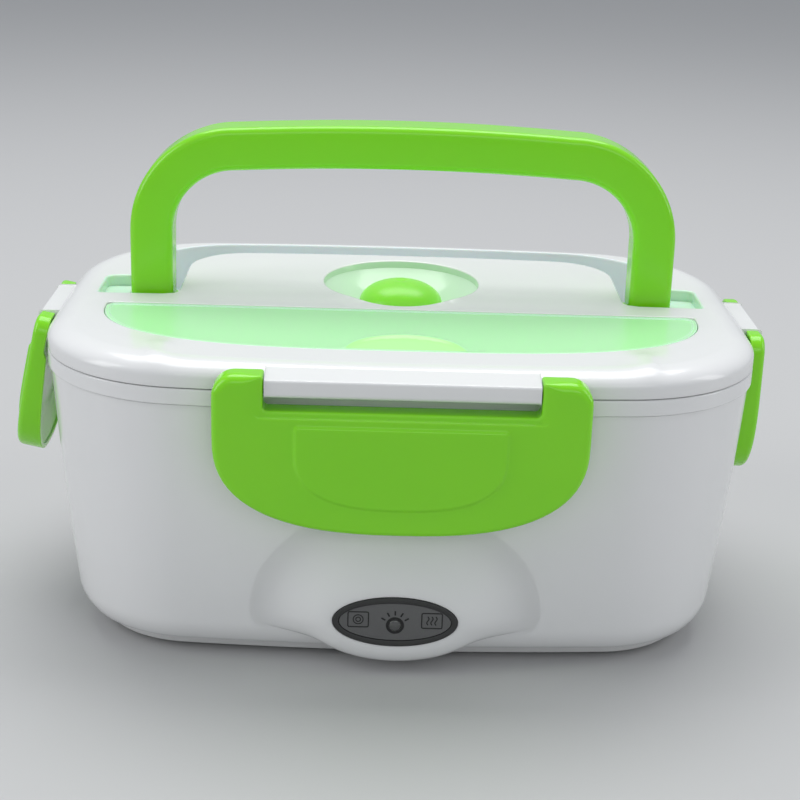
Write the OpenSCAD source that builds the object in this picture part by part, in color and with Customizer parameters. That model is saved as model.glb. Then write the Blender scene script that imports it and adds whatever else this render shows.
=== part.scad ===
// Electric lunch box: heated case, food trays and a clip-on lid that carries
// a folding handle, a steam vent plug and a spoon store with a hinged cover.
// Millimetres, +Z up. -Y is the lamp side. The origin lies on the table,
// under the middle of the case.

/* [Outline] */
// Width of the case without its side latches
width = 236; // [215:1:270]
// Depth of the case without its front and rear latches
depth = 165; // [150:1:195]
// Radius of the four upright corners
corner_r = 50; // [42:1:58]
// Radius of the slight bow of the long sides
long_bow_r = 900; // [700:50:2000]
// Radius of the slight bow of the short sides
short_bow_r = 1500; // [1000:50:3000]

/* [Case] */
// Height of the case rim, where the lid sits
rim_z = 96.9; // [85:0.1:120]
// Height of the rim band that caps the outer shell
band_h = 5.2; // [4:0.1:8]
// How far the rim band stands out past the wall
band_step = 1; // [0.5:0.1:1.5]
// Wall of the outer shell
shell_wall = 2; // [1.5:0.1:2.5]
// Height of the outer shell's lower edge
shell_foot_z = 6; // [5:0.5:8]
// Draft of the outer wall just under the band, in mm per mm
wall_draft = 0.058; // [0.03:0.001:0.07]
// Growth of that draft further down, which makes the wall bulge
wall_bulge = 0.00041; // [0.0002:0.00001:0.0005]
// Radius of the bottom edge of the outer shell
bottom_edge_r = 12; // [9:0.5:14]
// Gap between shells that are fixed to each other
shell_gap = 0.3; // [0.1:0.05:0.4]

/* [Inner tub] */
// Wall of the inner tub
tub_wall = 1.8; // [1.4:0.1:2.2]
// Width of the tub's flat rim
rim_w = 7; // [6:0.1:8]
// Depth below the rim of the ledge that carries the food tray
ledge_below = 12.4; // [9:0.1:20]
// Width of that ledge
ledge_w = 2.6; // [2:0.1:3.5]
// Height of the tub floor's upper face
tub_floor_z = 26; // [24:0.5:30]
// Inset of the tub wall at its floor
tub_foot_inset = 15; // [14:0.5:18]

/* [Heater] */
// Radius of the heating plate's disc
plate_r = 50; // [40:1:52]
// Thickness of the heating plate's disc
plate_t = 0.8; // [0.6:0.1:1.2]
// Radius of the block under the disc
plate_block_r = 43; // [34:1:45]
// Length of the ceramic heater
heater_l = 60; // [50:1:66]
// Width of the ceramic heater
heater_w = 22; // [18:1:26]
// Thickness of the ceramic heater
heater_t = 5; // [4:0.5:6]

/* [Base] */
// Thickness of the bottom cover's floor
cover_t = 2.2; // [1.8:0.1:2.6]
// Height of the rubber feet
foot_h = 1.5; // [1:0.1:2]
// Radius of the rubber feet
foot_r = 6; // [5:0.5:8]
// Distance of the cover screws from the middle, sideways
screw_x = 84; // [74:1:88]
// Distance of the cover screws from the middle, front to back
screw_y = 44; // [38:1:46]

/* [Lamp] */
// Half the width of the oval lamp bezel
lamp_a = 20.2; // [16:0.1:22]
// Half the height of the oval lamp bezel
lamp_b = 8.6; // [7:0.1:9]
// Height of the lamp bezel's centre
lamp_z = 20; // [18:0.5:22]
// How far the lamp's flat face stands out past the wall
lamp_out = 5.7; // [4:0.1:6]
// How far the lamp's swelling spreads past the bezel, sideways
boss_grow_a = 10.3; // [8:0.1:12]
// How far it spreads past the bezel, up and down
boss_grow_b = 8; // [6:0.1:9]
// Radius of the lamp's lens
lens_r = 1.9; // [1.5:0.1:2.2]

/* [Power inlet] */
// Radius of each contact pin
pin_r = 1.18; // [1:0.01:1.25]
// Distance between the two contact pins
pin_pitch = 8.6; // [8:0.1:9]
// Free length of each contact pin
pin_l = 9; // [8:0.5:10]
// Radius of each pin's root collar
pin_root_r = 1.7; // [1.5:0.1:2]
// Height of the inlet's centre
inlet_z = 17; // [15:0.5:18]

/* [Lid] */
// Height of the lid's top over the case rim
lid_h = 8.6; // [8:0.1:10]
// Gap between the lid and the case rim
lid_gap = 0.3; // [0.2:0.05:0.5]
// Width of the lid's rounded outer edge
lid_round_w = 9.5; // [7:0.1:10]
// Height of the lid's rounded outer edge
lid_round_h = 5; // [4:0.1:7]
// Wall of the lid's mouldings
lid_wall = 1.6; // [1.3:0.1:1.8]
// Thickness of the lid's outer skirt
skirt_t = 2.4; // [2:0.1:3]
// Clearance of the lid's plug in the tub
plug_gap = 0.4; // [0.3:0.05:0.6]
// Depth of the handle channel below the lid's top
channel_depth = 15.5; // [14.5:0.1:17]
// Thickness of the lid's inner liner
liner_t = 1.8; // [1.4:0.1:2]

/* [Handle] */
// Half the width over the handle's legs
handle_half_w = 95.2; // [80:0.1:98]
// Width of a leg, and the height of the grip
handle_bar = 15.6; // [12:0.1:17]
// Thickness of a leg, front to back
leg_depth = 15; // [13:0.1:16]
// Depth of the grip, front to back
grip_depth = 18; // [15:0.5:18.5]
// Length from the pivot to the top of the grip
handle_reach = 63.8; // [56:0.1:64]
// Outer corner radius of the handle
handle_corner_r = 37; // [30:1:42]
// Front to back place of the handle's pivot
pivot_y = 7.6; // [6:0.1:9]
// Depth of the handle's pivot under the lid top
pivot_drop = 3.8; // [3.6:0.1:4.5]
// Radius of the handle's pivot studs
stud_r = 2; // [1.6:0.1:2.2]
// Length of a pivot stud in the lid
stud_l = 3.4; // [2.5:0.1:4]

/* [Front and rear latch] */
// Half the width of a wide latch
latch_half_w = 58; // [50:1:62]
// Half the length of the lid's hinge bar
bar_half_w = 42; // [36:1:46]
// Height of the latch from its pivot to its lower tip
latch_drop = 47.3; // [40:0.1:52]

/* [Side latch] */
// Half the width of a side latch
side_half_w = 28.2; // [24:0.5:30]
// Half the length of the lid's side hinge bar
side_bar_half_w = 17; // [14:0.5:19]
// Height of the side latch from its pivot to its lower tip
side_drop = 43; // [36:0.5:48]
// How far the left latch hangs open at rest, in degrees
left_ajar = 12; // [0:1:30]

/* [Latch details] */
// Radius of the latches' hinge studs
latch_stud_r = 1.3; // [1.1:0.05:1.4]
// Running clearance round studs and pins
run_gap = 0.05; // [0.03:0.01:0.08]
// Side gap between a latch ear and its hinge bar
ear_gap = 0.35; // [0.25:0.05:0.5]
// Thickness of the latch's face
latch_face_t = 2.4; // [2:0.1:3]
// Power that squares the latches' lower ends: 1 is a true oval
end_power = 0.77; // [0.6:0.01:1]
// Radius of the ears' outer upper corners
ear_corner_r = 5.5; // [3:0.5:6]
// How far the thumb pad stands out from the face
pad_h = 0.8; // [0.4:0.1:1.2]
// Distance of the pad's lower end from the latch's tip
pad_margin = 8; // [6:0.5:10]

/* [Vent and spoon store] */
// Radius of the dish round the vent plug
dish_r = 28; // [24:0.5:30]
// Front to back place of the vent plug
vent_y = 19; // [18:0.5:21]
// Radius of the vent plug's dome
dome_r = 15; // [12:0.5:16]
// Depth of the dish
dish_depth = 7.5; // [6:0.5:8]
// Width of the rim that stands round the dish
dish_rim = 1.6; // [1:0.1:2]
// Height of the vent plug's dome over its rim
dome_h = 8.4; // [6:0.2:9]
// Half the width of the spoon cover
spoon_half_w = 101; // [88:1:102]
// Front to back place of the cover's straight edge
spoon_rear_y = -18; // [-19:0.5:-16]
// Depth of the spoon cover, front to back
spoon_cover_d = 43; // [38:0.5:44]
// Thickness of the spoon cover
spoon_cover_t = 1.6; // [1.2:0.1:2]
// Depth of the spoon cover under the lid top
spoon_sink = 1.2; // [0.8:0.1:1.6]
// Gap round the spoon cover
spoon_gap = 0.35; // [0.25:0.05:0.5]
// Width of the raised border of the spoon cover
border_w = 1.7; // [1:0.1:2.2]
// Height of that border
border_h = 0.35; // [0.2:0.05:0.5]

/* [Hidden] */

white = "#f4f5f4";
green = "#7cd230";
pale_green = "#b0ffb0";
half_w = width / 2;
half_d = depth / 2;

// ---------- plan outline: four bowed sides joined by tangent corner arcs ----------
side_steps = 2;
corner_steps = 8;
long_steps = 3;
long_c = half_d - long_bow_r;
short_c = half_w - short_bow_r;

// Centre of the corner arc that touches a long side and a short side from inside.
function corner_centre() =
  let (
    ra = long_bow_r - corner_r,
    rb = short_bow_r - corner_r,
    d = norm([short_c, long_c]),
    along = (ra * ra - rb * rb + d * d) / (2 * d),
    across = sqrt(ra * ra - along * along))
  [0, long_c] + along * [short_c, -long_c] / d - across * [long_c, short_c] / d;

corner_c = corner_centre();
long_angle = atan2(corner_c.y - long_c, corner_c.x);
short_angle = atan2(corner_c.y, corner_c.x - short_c);

function arc(c, r, from, to, steps) =
  [for (i = [0:steps]) let (a = from + (to - from) * i / steps) c + r * [cos(a), sin(a)]];

function flip(pts, sx, sy) = [for (i = [len(pts) - 1:-1:0]) [sx * pts[i].x, sy * pts[i].y]];
function head(pts) = [for (i = [0:len(pts) - 2]) pts[i]];

// One quarter of the outline, from the +X side to the +Y side, inset everywhere by e.
function quarter(e) = concat(
  head(arc([short_c, 0], short_bow_r - e, 0, short_angle, side_steps)),
  head(arc(corner_c, corner_r - e, short_angle, long_angle, corner_steps)),
  arc([0, long_c], long_bow_r - e, long_angle, 90, long_steps));

function outline(e) =
  let (q = quarter(e))
  concat(
    head(q), head(flip(q, -1, 1)),
    head([for (p = q) [-p.x, -p.y]]), head(flip(q, 1, -1)));

outline_n = 4 * (side_steps + corner_steps + long_steps);

function loft_points(rows) =
  [for (r = rows) for (p = outline(r[0])) [p.x, p.y, r[1]]];

function loft_walls(n, from, to, rows) =
  [for (r = [from:to]) for (i = [0:n - 1])
    let (j = (i + 1) % n, a = (r % rows) * n, b = ((r + 1) % rows) * n)
    [a + i, b + i, b + j, a + j]];

// Solid through rows of [inset, z], closed by its first and last row.
module loft_solid(rows) {
  k = len(rows);
  polyhedron(
    loft_points(rows),
    concat(
      [[for (i = [0:outline_n - 1]) i]],
      loft_walls(outline_n, 0, k - 2, k),
      [[for (i = [outline_n - 1:-1:0]) (k - 1) * outline_n + i]]));
}

// Ring through a closed loop of [inset, z] rows, open in the middle.
module loft_ring(rows) {
  k = len(rows);
  polyhedron(loft_points(rows), loft_walls(outline_n, 0, k - 1, k));
}

module slab(e, z0, z1) {
  translate([0, 0, z0]) linear_extrude(z1 - z0) polygon(outline(e));
}

function oval(a, b, steps = 40) =
  [for (i = [0:steps - 1]) [a * cos(360 * i / steps), b * sin(360 * i / steps)]];

// Puts a shape drawn in XY onto a plane that faces -Y, with its Y up.
module facing_front(y) {
  translate([0, y, 0]) rotate([90, 0, 0]) children();
}

module bar_x(c, r, x0, x1, sides = 32) {
  translate([x0, c.x, c.y]) rotate([0, 90, 0]) cylinder(h = x1 - x0, r = r, $fn = sides);
}

module bar_y(c, r, y0, y1, sides = 32) {
  translate([c.x, y0, c.y]) rotate([-90, 0, 0]) cylinder(h = y1 - y0, r = r, $fn = sides);
}

module mirrored_x() {
  children();
  mirror([1, 0, 0]) children();
}

module at_corners(x, y) {
  for (sx = [-1, 1]) for (sy = [-1, 1]) translate([sx * x, sy * y, 0]) children();
}

// ---------- outer shell ----------
band_z = rim_z - band_h;
ledge_z = rim_z - ledge_below;
wall_top_z = band_z - shell_gap;
edge_z = shell_foot_z + 8;
band_t = 1.5;
joggle = band_t + 0.1;
shell_top_z = rim_z - tub_wall - 0.1;

function bottom_round(z) =
  z >= edge_z ? 0 : bottom_edge_r - sqrt(pow(bottom_edge_r, 2) - pow(edge_z - z, 2));

function wall_inset(z) =
  let (h = wall_top_z - z)
  band_step + wall_draft * h + wall_bulge * h * h + bottom_round(z);

wall_levels = [shell_foot_z, shell_foot_z + 2.5, shell_foot_z + 5, edge_z, 26, 42, 58, 75];

function shell_rows() = concat(
  [for (z = wall_levels) [wall_inset(z), z]],
  [[band_step, wall_top_z], [joggle, wall_top_z], [joggle, shell_top_z]],
  [[joggle + shell_wall, shell_top_z], [joggle + shell_wall, wall_top_z - 2]],
  [for (z = [58, 26, edge_z, shell_foot_z]) [wall_inset(z) + shell_wall, z]]);

lamp_y = -(half_d - wall_inset(lamp_z)) - lamp_out;
inlet_face_y = half_d - wall_inset(inlet_z) + 2;

// One oval section of the lamp boss, at a depth behind its flat face.
module boss_section(depth, grow_a, grow_b, from = 0) {
  facing_front(lamp_y + depth + 0.2) linear_extrude(0.2) translate([0, lamp_z])
    polygon([for (i = [0:31]) let (t = from - (360 - from) * i / 31)
      [(lamp_a + grow_a) * cos(t), (lamp_b + grow_b) * sin(t)]]);
}

// Rounded swelling of the front wall that carries the flat lamp face and hangs a
// little below the shell's edge.
module lamp_boss() {
  hull() {
    boss_section(0, 1.6, 1.6);
    boss_section(1.2, 4.4, 4);
    boss_section(3.6, boss_grow_a - 2.4, 6.8);
    boss_section(lamp_out - 0.6, boss_grow_a - 1, boss_grow_b);
    boss_section(half_d - wall_inset(shell_foot_z) + lamp_y + 2 * shell_wall, boss_grow_a, boss_grow_b, 180);
  }
}

// Flat pad on the rear wall for the power inlet.
module inlet_boss() {
  hull() {
    translate([-15, inlet_face_y - 0.6, inlet_z - 8.5]) cube([30, 0.6, 17]);
    translate([-17, half_d - wall_inset(inlet_z - 9) - 2.4, inlet_z - 9.5]) cube([34, 0.5, 20]);
  }
}

inlet_body_w = 20;
inlet_body_h = 9.6;
inlet_depth = 16;
flange_t = 1.2;
well_r = 3.6;
pin_tip = 0.7;
pin_sink = 1.8;
pin_collar = 0.5;
post_x = 11;
led_z = lamp_z - 1.2;
board_y = lamp_y + 11.2;
board_t = 1.2;

module outer_shell() {
  color(white) difference() {
    union() {
      loft_ring(shell_rows());
      lamp_boss();
      inlet_boss();
      for (s = [-1, 1]) bar_y([s * post_x, led_z - 1], 2, lamp_y + 5, board_y);
    }
    facing_front(lamp_y + 2.4) linear_extrude(4)
      translate([0, lamp_z]) polygon(oval(lamp_a + 0.1, lamp_b + 0.1));
    bar_y([0, led_z], lens_r + 0.7, lamp_y - 2, lamp_y + 9);
    translate([-inlet_body_w / 2 - 0.1, inlet_face_y - 8, inlet_z - inlet_body_h / 2 - 0.1])
      cube([inlet_body_w + 0.2, 12, inlet_body_h + 0.2]);
  }
}

// ---------- inner tub with the rim band ----------
function tub_rows() = [
  [tub_foot_inset + 2, tub_floor_z - 2],
  [tub_foot_inset - 1, tub_floor_z - 1.2],
  [tub_foot_inset - tub_wall, tub_floor_z + 1],
  [rim_w + ledge_w - tub_wall, ledge_z - 2],
  [rim_w - tub_wall, ledge_z - 0.6],
  [rim_w - tub_wall, rim_z - tub_wall],
  [band_t, rim_z - tub_wall],
  [band_t, band_z],
  [0, band_z],
  [0, rim_z - 0.5],
  [0.5, rim_z],
  [rim_w, rim_z],
  [rim_w, ledge_z],
  [rim_w + ledge_w, ledge_z],
  [tub_foot_inset, tub_floor_z + 2],
  [tub_foot_inset + 0.8, tub_floor_z + 0.5],
  [tub_foot_inset + 2.5, tub_floor_z]];

boss_r = 4;
pilot_r = 1.25;
cover_top_z = foot_h + cover_t;
boss_low_z = cover_top_z + 2;
block_low_z = tub_floor_z - 4;
clamp_z = block_low_z - heater_t - 0.5;

module inner_tub() {
  color(white) difference() {
    union() {
      loft_solid(tub_rows());
      at_corners(screw_x, screw_y)
        translate([0, 0, boss_low_z])
          cylinder(h = tub_floor_z - 1 - boss_low_z, r = boss_r, $fn = 32);
      for (s = [-1, 1]) translate([s * (plate_block_r + 7), 0, clamp_z])
        cylinder(h = tub_floor_z - 1 - clamp_z, r = boss_r - 0.5, $fn = 32);
    }
    translate([0, 0, tub_floor_z - 4])
      cylinder(h = 8, r = plate_block_r + 0.3, $fn = 96);
    at_corners(screw_x, screw_y)
      translate([0, 0, boss_low_z - 1]) cylinder(h = 13, r = pilot_r, $fn = 24);
    for (s = [-1, 1]) translate([s * (plate_block_r + 7), 0, clamp_z - 1])
      cylinder(h = 8, r = pilot_r, $fn = 24);
  }
}

// ---------- heater under the tub floor ----------
seal_t = 0.6;
plate_z = tub_floor_z + seal_t;

module heating_plate() {
  color("silver") rotate_extrude($fn = 96) polygon([
    [0, block_low_z], [plate_block_r, block_low_z], [plate_block_r, plate_z],
    [plate_r, plate_z], [plate_r, plate_z + plate_t - 0.3], [plate_r - 0.3, plate_z + plate_t],
    [0, plate_z + plate_t]]);
}

module plate_seal() {
  color("#d8d8d2") translate([0, 0, tub_floor_z]) difference() {
    cylinder(h = seal_t, r = plate_r - 0.4, $fn = 96);
    translate([0, 0, -1]) cylinder(h = 3, r = plate_block_r + 0.6, $fn = 96);
  }
}

module ptc_heater() {
  color("silver") translate([-heater_l / 2, -heater_w / 2, block_low_z - heater_t])
    cube([heater_l, heater_w, heater_t]);
}

module mica_sheet() {
  color("tan") translate([-heater_l / 2 - 2, -heater_w / 2 - 2, block_low_z - heater_t - 0.5])
    cube([heater_l + 4, heater_w + 4, 0.5]);
}

clamp_w = 14;
clamp_t = 1;

// Pressed steel strap that holds the heater up against the plate's block.
module heater_clamp() {
  x = plate_block_r + 7;
  color("lightgrey") difference() {
    union() {
      translate([-x, -clamp_w / 2, clamp_z - clamp_t]) cube([2 * x, clamp_w, clamp_t]);
      for (s = [-1, 1]) translate([s * x, 0, clamp_z - clamp_t])
        cylinder(h = clamp_t, r = clamp_w / 2, $fn = 32);
    }
    for (s = [-1, 1]) translate([s * x, 0, clamp_z - clamp_t - 1])
      cylinder(h = 4, r = pilot_r + 0.3, $fn = 24);
  }
}

// Pan-head screw, head down, its seat at z = 0 and its shank up.
module screw(head_r, head_h, shank_r, shank_l) {
  rotate_extrude($fn = 32) polygon([
    [0, -head_h], [head_r - 0.6, -head_h], [head_r, -head_h + 0.6], [head_r, 0],
    [shank_r, 0], [shank_r, shank_l - 0.8], [0.3, shank_l], [0, shank_l]]);
}

module clamp_screws() {
  color("grey") for (s = [-1, 1])
    translate([s * (plate_block_r + 7), 0, clamp_z - clamp_t]) screw(2.6, 1.6, pilot_r - 0.02, 6.5);
}

fuse_y = clamp_w / 2 + 4;

module thermal_fuse() {
  color("#c8a060") bar_x([fuse_y, clamp_z - 2.3], 2, -7, 7, 24);
}

// Three leads: inlet to heater, inlet to fuse, and heater to the lamp board.
wire_r = 1.1;
wire_z = 10;
pin_tail_y = inlet_face_y - inlet_depth - shell_gap;
heater_end = heater_l / 2 + shell_gap;
heater_lead_z = block_low_z - heater_t / 2;
fuse_z = clamp_z - 2.3;
lead_in = [[-pin_pitch / 2, pin_tail_y, inlet_z], [-pin_pitch / 2, pin_tail_y - 5, inlet_z],
  [-24, 44, wire_z], [-46, 30, wire_z], [-42, 9, heater_lead_z], [-heater_end, 9, heater_lead_z]];
lead_fuse = [[pin_pitch / 2, pin_tail_y, inlet_z], [pin_pitch / 2, pin_tail_y - 5, inlet_z],
  [16, 44, wire_z], [20, 24, wire_z], [13, fuse_y, fuse_z], [7 + shell_gap, fuse_y, fuse_z]];
lead_lamp = [[heater_end, -9, heater_lead_z], [42, -9, heater_lead_z], [46, -22, 13],
  [40, -46, wire_z + 1], [14, board_y + 9, wire_z + 2], [8, board_y + 5, led_z],
  [8, board_y + board_t + shell_gap, led_z]];

function unit(v) = v / norm(v);

// Direction of the path at point i: along the end stretches, halfway at a bend.
function heading(path, i) =
  let (
    k = len(path) - 1,
    before = i > 0 ? unit(path[i] - path[i - 1]) : [0, 0, 0],
    after = i < k ? unit(path[i + 1] - path[i]) : [0, 0, 0])
  unit(before + after);

// Round tube along a path, with a ring of points square to it at every bend.
module lead(path) {
  sides = 8;
  k = len(path);
  points = [for (i = [0:k - 1])
    let (t = heading(path, i), u = unit(cross(t, [0.2, 0.3, 1])), v = cross(t, u))
    for (j = [0:sides - 1]) let (a = 360 * j / sides)
      path[i] + wire_r * (cos(a) * u + sin(a) * v)];
  polyhedron(points, concat(
    [for (j = [1:sides - 2]) [0, j, j + 1]],
    [for (w = loft_walls(sides, 0, k - 2, k)) each [[w[0], w[1], w[2]], [w[0], w[2], w[3]]]],
    [for (j = [1:sides - 2]) let (e = (k - 1) * sides) [e, e + j + 1, e + j]]));
}

module wiring() {
  color("#303030") for (path = [lead_in, lead_fuse, lead_lamp]) lead(path);
}

// ---------- lamp ----------
rim_black = 2;

module led_board() {
  color("#2f6f45") translate([-15, board_y, led_z - 6.5]) cube([30, board_t, 11]);
}

module indicator_led() {
  color("#e8e8e0") {
    bar_y([0, led_z], 1.5, lamp_y + 2.6, board_y, 24);
    bar_y([0, led_z], 2, board_y - 1.4, board_y, 24);
  }
}

// Black oval frame sunk into the boss, proud of it by a hair.
module lamp_bezel() {
  color("#202020") difference() {
    facing_front(lamp_y + 2.4) linear_extrude(2.8)
      translate([0, lamp_z]) polygon(oval(lamp_a, lamp_b));
    facing_front(lamp_y + 1) linear_extrude(4)
      translate([0, lamp_z]) polygon(oval(lamp_a - rim_black, lamp_b - rim_black));
    bar_y([0, led_z], lens_r + 0.7, lamp_y - 2, lamp_y + 6);
  }
}

module lamp_panel() {
  color("#555555") difference() {
    facing_front(lamp_y + 1) linear_extrude(1)
      translate([0, lamp_z]) polygon(oval(lamp_a - rim_black - 0.1, lamp_b - rim_black - 0.1));
    bar_y([0, led_z], lens_r + 0.1, lamp_y - 2, lamp_y + 4);
  }
}

module lamp_lens() {
  color("#8c8c8c") translate([0, lamp_y + 1, led_z]) rotate([90, 0, 0])
    rotate_extrude($fn = 32) polygon([
      [0, -0.6], [lens_r + 0.5, -0.6], [lens_r + 0.5, 0], [lens_r, 0], [lens_r, 0.9],
      [lens_r * 0.8, 1.35], [lens_r * 0.4, 1.6], [0, 1.65]]);
}

// ---------- power inlet ----------
pin_end_y = inlet_face_y + flange_t - pin_sink;
well_floor_y = pin_end_y - pin_tip - pin_l - pin_collar;

module inlet_well() {
  for (s = [-1, 1]) bar_y([s * pin_pitch / 2, inlet_z], well_r, well_floor_y, well_floor_y + 20, 40);
  translate([-pin_pitch / 2, well_floor_y, inlet_z - 2.6]) cube([pin_pitch, 20, 5.2]);
}

module power_inlet() {
  color("#1c1c1c") difference() {
    union() {
      translate([-inlet_body_w / 2, inlet_face_y - inlet_depth, inlet_z - inlet_body_h / 2])
        cube([inlet_body_w, inlet_depth, inlet_body_h]);
      translate([-13, inlet_face_y, inlet_z - 6.5]) cube([26, flange_t, 13]);
    }
    inlet_well();
    for (s = [-1, 1])
      bar_y([s * pin_pitch / 2, inlet_z], pin_root_r + 0.02, inlet_face_y - 20, well_floor_y + 1, 32);
  }
}

// Pins with a thick root that is moulded into the inlet's floor.
module inlet_pins() {
  back_y = inlet_face_y - inlet_depth;
  free = well_floor_y + pin_collar - back_y;
  color("gold") for (s = [-1, 1]) translate([s * pin_pitch / 2, back_y, inlet_z])
    rotate([-90, 0, 0]) rotate_extrude($fn = 32) polygon([
      [0, 0], [pin_root_r, 0], [pin_root_r, free], [pin_r, free], [pin_r, free + pin_l],
      [pin_r - 0.5, free + pin_l + pin_tip], [0, free + pin_l + pin_tip]]);
}

// ---------- bottom cover, its screws and feet ----------
cover_inset = wall_inset(shell_foot_z) + shell_wall + shell_gap;
foot_x = 60;
foot_y = 47;

function cover_rows() = [
  [cover_inset + 4, foot_h], [cover_inset + 2.6, foot_h + 0.6],
  [cover_inset + 1.6, shell_foot_z - 1], [cover_inset, shell_foot_z + 0.3],
  [cover_inset, shell_foot_z + 4], [cover_inset + 1.8, shell_foot_z + 4],
  [cover_inset + 3.4, cover_top_z + 0.4], [cover_inset + 4.4, cover_top_z]];

module bottom_cover() {
  color("#e9eae8") difference() {
    union() {
      loft_solid(cover_rows());
      at_corners(screw_x, screw_y) translate([0, 0, foot_h + 0.5])
        cylinder(h = boss_low_z - foot_h - 0.5, r = 5.4, $fn = 32);
    }
    at_corners(screw_x, screw_y) {
      translate([0, 0, foot_h - 1]) cylinder(h = 10, r = 1.7, $fn = 24);
      translate([0, 0, foot_h - 1]) cylinder(h = 3.4, r = 3.4, $fn = 32);
    }
    // row of air slots under the heater
    for (i = [-4:4]) translate([i * 7 - 1.25, -18, foot_h - 1]) cube([2.5, 36, 8]);
  }
}

module cover_screws() {
  color("grey") at_corners(screw_x, screw_y)
    translate([0, 0, foot_h + 2.4]) screw(3, 1.8, pilot_r - 0.02, 10);
}

module feet() {
  color("#3c3c3c") at_corners(foot_x, foot_y) rotate_extrude($fn = 40)
    polygon([[0, 0], [foot_r - 0.6, 0], [foot_r, 0.5], [foot_r, foot_h], [0, foot_h]]);
}

// ---------- trays ----------
tray_t = 1.4;
tray_gap = 0.3;
tray_floor_z = plate_z + plate_t + tray_gap;
tray_top_z = ledge_z + 1.5;

function tray_rows() = [
  [tub_foot_inset + 4.5, tray_floor_z], [tub_foot_inset + 2.4, tray_floor_z + 0.8],
  [tub_foot_inset + 1.4, tray_floor_z + 3], [rim_w + ledge_w + 0.6, ledge_z],
  [rim_w + tray_gap, ledge_z], [rim_w + tray_gap, tray_top_z],
  [rim_w + ledge_w + 1.6, tray_top_z], [rim_w + ledge_w + 0.6 + tray_t, ledge_z - 1.5],
  [tub_foot_inset + 1.4 + tray_t, tray_floor_z + 4],
  [tub_foot_inset + 2.4 + tray_t, tray_floor_z + 2.2],
  [tub_foot_inset + 5.5, tray_floor_z + tray_t]];

module food_tray() {
  color("#f0f1ee") loft_solid(tray_rows());
}

small_w = 58;
small_d = 96;
small_h = 44;
small_x = -58;
small_r = 12;

function rounded(w, d, r, steps = 4) =
  let (q = arc([w / 2 - r, d / 2 - r], r, 0, 90, steps))
  concat(q, flip(q, -1, 1), [for (p = q) [-p.x, -p.y]], flip(q, 1, -1));

module small_tray() {
  color("#f0f1ee") translate([small_x, 0, tray_floor_z + tray_t + tray_gap]) difference() {
    union() {
      linear_extrude(small_h) polygon(rounded(small_w, small_d, small_r));
      translate([0, 0, small_h - 2]) linear_extrude(2)
        polygon(rounded(small_w + 3, small_d + 3, small_r + 1.5));
    }
    translate([0, 0, tray_t]) linear_extrude(small_h)
      polygon(rounded(small_w - 2 * tray_t, small_d - 2 * tray_t, small_r - tray_t));
  }
}

module small_tray_lid() {
  top = tray_floor_z + tray_t + tray_gap + small_h;
  color(pale_green) translate([small_x, 0, top]) union() {
    linear_extrude(1.2) polygon(rounded(small_w + 3, small_d + 3, small_r + 1.5));
    translate([0, 0, -3]) linear_extrude(3.5) difference() {
      polygon(rounded(small_w - 2 * tray_t - 0.4, small_d - 2 * tray_t - 0.4, small_r - tray_t));
      polygon(rounded(small_w - 4 * tray_t - 0.4, small_d - 4 * tray_t - 0.4, small_r - 2 * tray_t));
    }
    translate([-6, -small_d / 2 + 8, 1]) cube([12, 3, 3]);
  }
}

// ---------- lid ----------
lid_low_z = rim_z + lid_gap;
lid_top_z = rim_z + lid_h;
seat_z = lid_low_z + 2.7;
plug_in = rim_w + plug_gap;
plug_t = 1.8;
channel_floor_z = lid_top_z - channel_depth;
shell_low_z = channel_floor_z - lid_wall;
pivot_z = lid_top_z - pivot_drop;
handle_half_t = handle_bar / 2;
leg_rear_r = leg_depth / 2 + 0.8;
bow = 1 / (2 * long_bow_r);

function lid_rows() = concat(
  [[0, lid_low_z]],
  [for (t = [0:15:90])
    [lid_round_w * (1 - cos(t)), lid_top_z - lid_round_h * (1 - sin(t))]]);

// Handle channel: a U round the middle platform, with a pocket outside each leg.
channel_gap = 1.2;
pocket_x = 106;
pocket_front_y = -1.5;
pocket_rear_y = 21;
platform_x = handle_half_w - handle_bar - 1.6;
platform_rear_y = pivot_y + handle_reach - handle_bar - 0.9;
platform_r = handle_corner_r - handle_bar;
groove_x = handle_half_w + channel_gap;
groove_rear_y = pivot_y + handle_reach + 0.7;

function channel_side(g) =
  let (
    cx = groove_x - handle_corner_r,
    cy = groove_rear_y - bow * cx * cx - handle_corner_r)
  concat(
    [[pocket_x + g, pocket_front_y - g], [pocket_x + g, pocket_rear_y + g],
      [groove_x + g, pocket_rear_y + g + 2]],
    arc([cx, cy], handle_corner_r + g, 0, 90, 8),
    [[cx / 2, groove_rear_y + g - bow * cx * cx / 4], [0, groove_rear_y + g]]);

function platform_side(g) =
  let (
    cx = platform_x - platform_r,
    cy = platform_rear_y - bow * cx * cx - platform_r)
  concat(
    [[platform_x - g, pocket_front_y - g]],
    arc([cx, cy], platform_r - g, 0, 90, 8),
    [[cx / 2, platform_rear_y - g - bow * cx * cx / 4], [0, platform_rear_y - g]]);

function channel(g) =
  let (a = channel_side(g), b = platform_side(g))
  concat(head(a), flip(a, -1, 1), [for (p = b) [-p.x, p.y]], flip(head(b), 1, 1));

// D-shaped spoon store: straight at the rear, a flattened curve to the front. The
// store's rear corners are tighter than the cover's, so the cover swings clear.
spoon_top_z = lid_top_z - spoon_sink;
cover_hinge = [spoon_rear_y - 2, spoon_top_z - 1];
cover_stud_r = 0.9;
spoon_floor_z = channel_floor_z + 2;
tip_r = 4;
store_tip_r = 1.2;

function spoon_d(g, r) =
  let (
    w = spoon_half_w + g,
    rear = spoon_rear_y + g,
    low = spoon_rear_y - tip_r,
    d = spoon_cover_d - tip_r + g)
  concat(
    arc([w - r, rear - r], r, 90, 0, 3),
    [for (i = [1:15]) let (t = 90 * i / 15)
      [w * pow(cos(t), 0.62), low - d * pow(sin(t), 0.9)]]);

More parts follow.
